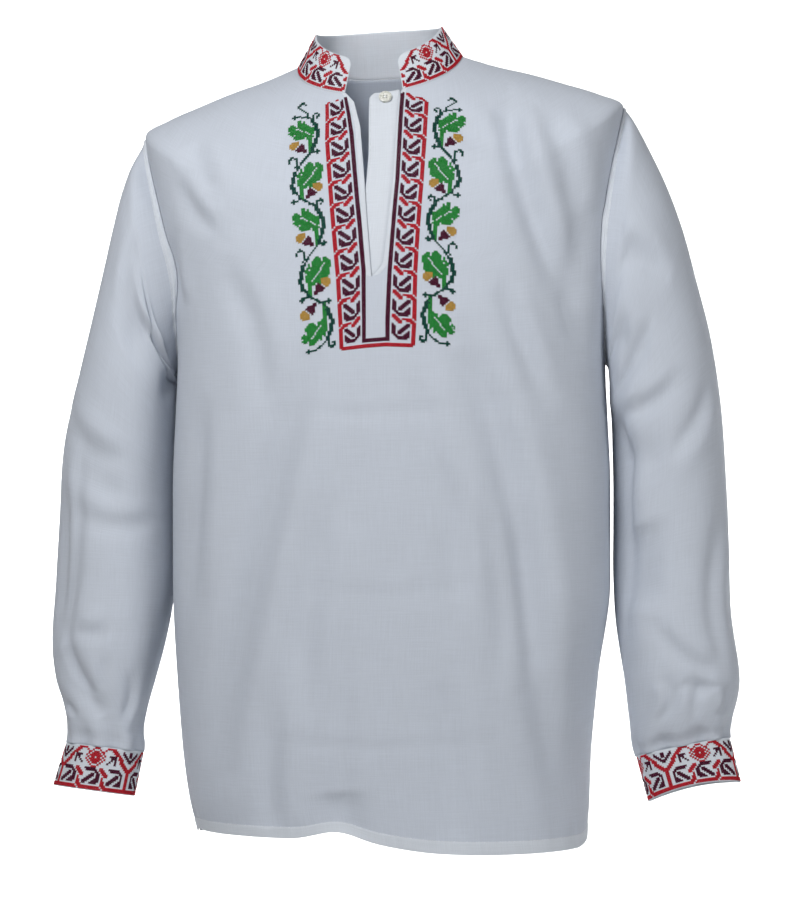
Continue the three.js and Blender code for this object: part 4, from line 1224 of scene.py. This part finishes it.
vine = {}
for number in range(2):
    down = number * VINE_PERIOD
    lay(vine, LEAF_OUTWARDS, 34, 12 + down)
    lay(vine, LEAF_INWARDS, 30, 40 + down)
    lay(vine, ACORN, 33, 26 + down)
    lay(vine, ACORN, 26, 53 + down, flip=True)
    for corners in LEAF_STALKS:
        draw_line(vine, moved(corners, down), "g", thick_where_steep=True)
    draw_line(vine, moved(VINE_STEM, down), "d", thick_where_steep=True)
    for corners in CURLS_AND_STALKS:
        draw_line(vine, moved(corners, down), "d")
    lay(vine, BUD, 34, 60 + down)
    lay(vine, BUD, 20, 33 + down)
lay(vine, LEAF_DOWNWARDS, 34, 127)
draw_line(vine, [(21.9, 119), (21.9, 128)], "g", thick_where_steep=True)
lay(vine, ACORN, 34, 118, upside_down=True)
draw_line(vine, END_STEM, "d", thick_where_steep=True)
for corners in END_LINES:
    draw_line(vine, corners, "d")
lay(vine, BUD, 20, 117)
lay(vine, BUD, 32, 143)
for corners in TOP_LINES:
    draw_line(vine, corners, "d")
lay(vine, BUD, 32, 8)

band = {}
for row in range(REPEATS * len(HOOK_BAND) + 1):
    for column, letter in enumerate(HOOK_BAND[row % len(HOOK_BAND)]):
        above_first = row == 0 and letter == "b" and column > 1
        below_last = row == REPEATS * len(HOOK_BAND) and column in (3, 4)
        if letter != "." and column - row <= 9 and not above_first and not below_last:
            band[column, row] = letter

# The bands' lines go on across the middle under the slit, burgundy above and red below.
INNER_FOOT = (143, 144)
OUTER_FOOT = (146, 147)
FOOT_COLUMNS = 10  # stitches between the two bands
for row in INNER_FOOT:
    band[0, row] = band[1, row] = "b"
for row in range(INNER_FOOT[0], OUTER_FOOT[1] + 1):
    band[13, row] = band[14, row] = "r"
for row in OUTER_FOOT:
    for column in range(13):
        band[column, row] = "r"
del band[14, OUTER_FOOT[1]]
foot = {(column, row): "b" for column in range(FOOT_COLUMNS) for row in INNER_FOOT}
foot.update({(column, row): "r" for column in range(FOOT_COLUMNS) for row in OUTER_FOOT})


def foot_grid(columns, rows):
    share = (columns / FOOT_COLUMNS)[:, None]
    right_side, left_side = [front_grid(sign)(np.zeros(len(rows)), rows) for sign in (-1, 1)]
    between = right_side + (left_side - right_side) * share
    return on_front(between[:, 0], between[:, 2])


HIDDEN_ROWS = 4  # rows of the right band that the collar covers
for side, sign in (("left", 1), ("right", -1)):
    shown = {cell: letter for cell, letter in band.items() if sign > 0 or cell[1] >= HIDDEN_ROWS}
    embroider("stitches_band_" + side, shown, front_grid(sign), sign)
    embroider("stitches_vine_" + side, vine, front_grid(sign), sign)
embroider("stitches_foot", foot, foot_grid)


# ---- Embroidery of the collar and the cuffs ----
# The same border all round: a red base line with risers, a hook between each two, and above them a
# row of rosettes under red gables with small crowns between. It is mirrored at each gable's foot.
GABLE = [  # from a gable's foot to the middle of its rosette, the top row first
    ".........rrrrr....rr",
    "b...b...rrr...r..r..",
    "b..bb..rrr.....rr.rr",
    "b.bb..rrr......r.rrr",
    ".bb..rr.bbbb..r.rrrr",
    "bb..rrr.bbb....r.rr.",
    "b...rr..b.b...r.rrrr",
    "...rrr..b..b...r.rrr",
    "..rrr...b...b...r.rr",
    ".rrr.............r..",
    "rrr...............rr",
]
GABLE_WIDTH = 39
BORDER_ROWS = 23
HOOK_ROWS = 12
HOOK_START = 3  # row of the band's chart that a gable's foot stands on
EDGE_MARGIN = 1.0  # cloth left plain along the border's edges


def border_letter(column, row):
    """The chart of the border. Its hooks are the front bands' lying on their sides."""
    number, j = divmod(column, GABLE_WIDTH)
    from_foot = min(j, GABLE_WIDTH - 1 - j)
    height = BORDER_ROWS - 1 - row
    if height >= HOOK_ROWS:
        return GABLE[row][from_foot]
    k = GABLE_WIDTH - 1 - j if number % 2 else j
    if k <= 1 or k >= GABLE_WIDTH - 3:
        riser = from_foot == 0 and height < HOOK_ROWS - 1
        fork = from_foot < 2 and height == HOOK_ROWS - 1
        return "r" if height < 2 or riser or fork else "."
    return HOOK_BAND[(HOOK_START + k) % len(HOOK_BAND)][14 - height]


def along_line(points):
    """Distances along a line of points."""
    return np.concatenate([[0], np.cumsum(np.linalg.norm(np.diff(points, axis=0), axis=-1))])


COLLAR_GABLES = 6
collar_columns = COLLAR_GABLES * GABLE_WIDTH
DENSE = np.linspace(0, 1, 1200)  # where the lines round the collar and the cuffs are measured
HALF_WAY = np.full(DENSE.size, 0.5)
dense_turn = end_turn - sweep_turn * DENSE
collar_run = along_line(collar_points(dense_turn, HALF_WAY))
collar_ends = EDGE_MARGIN / collar_run[-1]


def collar_grid(columns, rows):
    share = collar_ends + (1 - 2 * collar_ends) * columns / collar_columns
    turn = np.interp(share * collar_run[-1], collar_run, dense_turn)
    margin = EDGE_MARGIN / collar_height
    return collar_points(turn, 1 - margin - (1 - 2 * margin) * rows / BORDER_ROWS)


CORNER_COLUMNS = 5  # the rounded corners stay plain
collar_cells = {}
for row in range(BORDER_ROWS):
    for column in range(collar_columns):
        from_front = min(column, collar_columns - 1 - column)
        at_end = from_front < CORNER_COLUMNS
        letter = border_letter(column, row)
        if from_front < 2 and row > len(GABLE):
            letter = HOOK_BAND[HOOK_START + from_front][row - 8]
        plain_corner = at_end and (row < 4 or (letter == "b" and row < len(GABLE)) or row == len(GABLE))
        if letter != "." and not plain_corner:
            collar_cells[column, row] = letter
embroider("stitches_collar", collar_cells, collar_grid)

CUFF_FOOT = {"left": 0.326, "right": 0.40}  # share round a cuff where a gable's foot stands
for side, sign in (("left", 1), ("right", -1)):
    run = along_line(cuff_points(side, DENSE, HALF_WAY))
    cuff_columns = int(run[-1] / STITCH)
    seam, lower_edge = cuff_points(side, np.array([0.25, 0.25]), np.array([0.0, 1.0]))
    margin = EDGE_MARGIN / np.linalg.norm(lower_edge - seam)

    def cuff_grid(columns, rows):
        pitch = run[-1] / cuff_columns
        foot_run = np.interp(CUFF_FOOT[side], DENSE, run)
        share = np.interp((foot_run - sign * (columns - GABLE_WIDTH) * pitch) % run[-1], run, DENSE)
        down = margin + (1 - 2 * margin) * rows / BORDER_ROWS
        points = cuff_points(side, share, down)
        upwards = cuff_points(side, share, down - 0.05) - cuff_points(side, share, down + 0.05)
        beside = cuff_points(side, share + 0.002, down) - cuff_points(side, share - 0.002, down)
        outs = np.cross(upwards, beside) * sign
        outs /= np.linalg.norm(outs, axis=-1, keepdims=True)
        return points + outs * CUFF_OUT

    cells = {}
    first = GABLE_WIDTH - cuff_columns // 2
    for row in range(BORDER_ROWS):
        for column in range(first, first + cuff_columns):
            letter = border_letter(column, row)
            if letter != ".":
                cells[column, row] = letter
    embroider("stitches_cuff_" + side, cells, cuff_grid)


# ---- Sewing ----
# White machine stitches hold the hem, the turned edges of the slit, the slit strip and the felled
# seams of the armholes. Two short lengths of the same thread hold the button.
SEAM_STEP = 3.0  # length of one stitch
SEAM_IN = 0.8  # the stitches lie this far in from the end of a doubled edge
SEAM_STITCH = arrays_of([slim_pad(2.7, 0.55, 0.5, 0, 0.02)])
sewing = thread("white_sewing_thread", (0.76, 0.785, 0.82))


def sew(name, line, outwards):
    """A row of straight stitches along a line of points on the cloth."""
    run = along_line(line)
    middles = np.arange(SEAM_STEP / 2, run[-1], SEAM_STEP)

    def at(values, distance):
        return np.stack([np.interp(distance, run, values[:, k]) for k in range(3)], axis=-1)

    rights = at(line, middles + 0.5) - at(line, middles - 0.5)
    rights /= np.linalg.norm(rights, axis=-1, keepdims=True)
    ups = np.cross(at(outwards, middles), rights)
    ups /= np.linalg.norm(ups, axis=-1, keepdims=True)
    place_stitches(name, SEAM_STITCH, at(line, middles), rights, ups, sewing)


def level(uv, millimetres):
    """The row of a grid of cloth that lies this far up it."""
    return int(np.searchsorted(uv[:, 0, 1], millimetres * MM))


BODY_MIDDLE = (0, 0, -400)
front_normals = normals_of(front_points, BODY_MIDDLE)
back_normals = normals_of(back_points, BODY_MIDDLE)
for name, points, normals, uv in (
    ("seam_hem_front", front_points, front_normals, front_uv),
    ("seam_hem_back", back_points, back_normals, back_uv),
):
    row = level(uv, HEM - 1)
    sew(name, points[row], normals[row])
for side, columns in (("right", slice(0, FRONT_HALF + 1)), ("left", slice(FRONT_HALF + 1, None))):
    line, outwards = [], []
    for row in np.nonzero(open_rows)[0]:
        order = np.argsort(from_slit[row, columns])
        distance = from_slit[row, columns][order]
        for found, values in ((line, front_points), (outwards, front_normals)):
            across_row = values[row, columns][order]
            found.append([np.interp(SLIT_TURNING - SEAM_IN, distance, across_row[:, k]) for k in range(3)])
    sew("seam_slit_" + side, np.array(line), np.array(outwards))
for side, (closed, uv) in sleeve_cloth.items():
    row = level(uv, HEAD_BAND - 0.6)
    sew("seam_armhole_" + side, closed[row], normals_of(closed, closed.mean(axis=1, keepdims=True))[row])
for column in (1, STRIP_COLUMNS - 1):
    sew("seam_strip_%d" % column, strip_points[:, column], strip_normals[:, column])

THREAD_ACROSS = 2 * HOLE_FROM_MIDDLE
button_thread = arrays_of([
    slim_pad(THREAD_ACROSS * 1.3, 0.7, 0.7, math.pi / 4, 0.1),
    slim_pad(THREAD_ACROSS * 1.3, 0.7, 0.7, -math.pi / 4, 0.35),
])
face_out = np.array(outward)
side_ways = np.cross((0, 0, 1), face_out)
side_ways /= np.linalg.norm(side_ways)
BUTTON_DISH = 0.5  # the dish's floor, ahead of the button's middle
place_stitches(
    "button_thread", button_thread, (spot[1, 1] + face_out * BUTTON_DISH)[None], side_ways[None],
    np.cross(face_out, side_ways)[None], sewing,
)
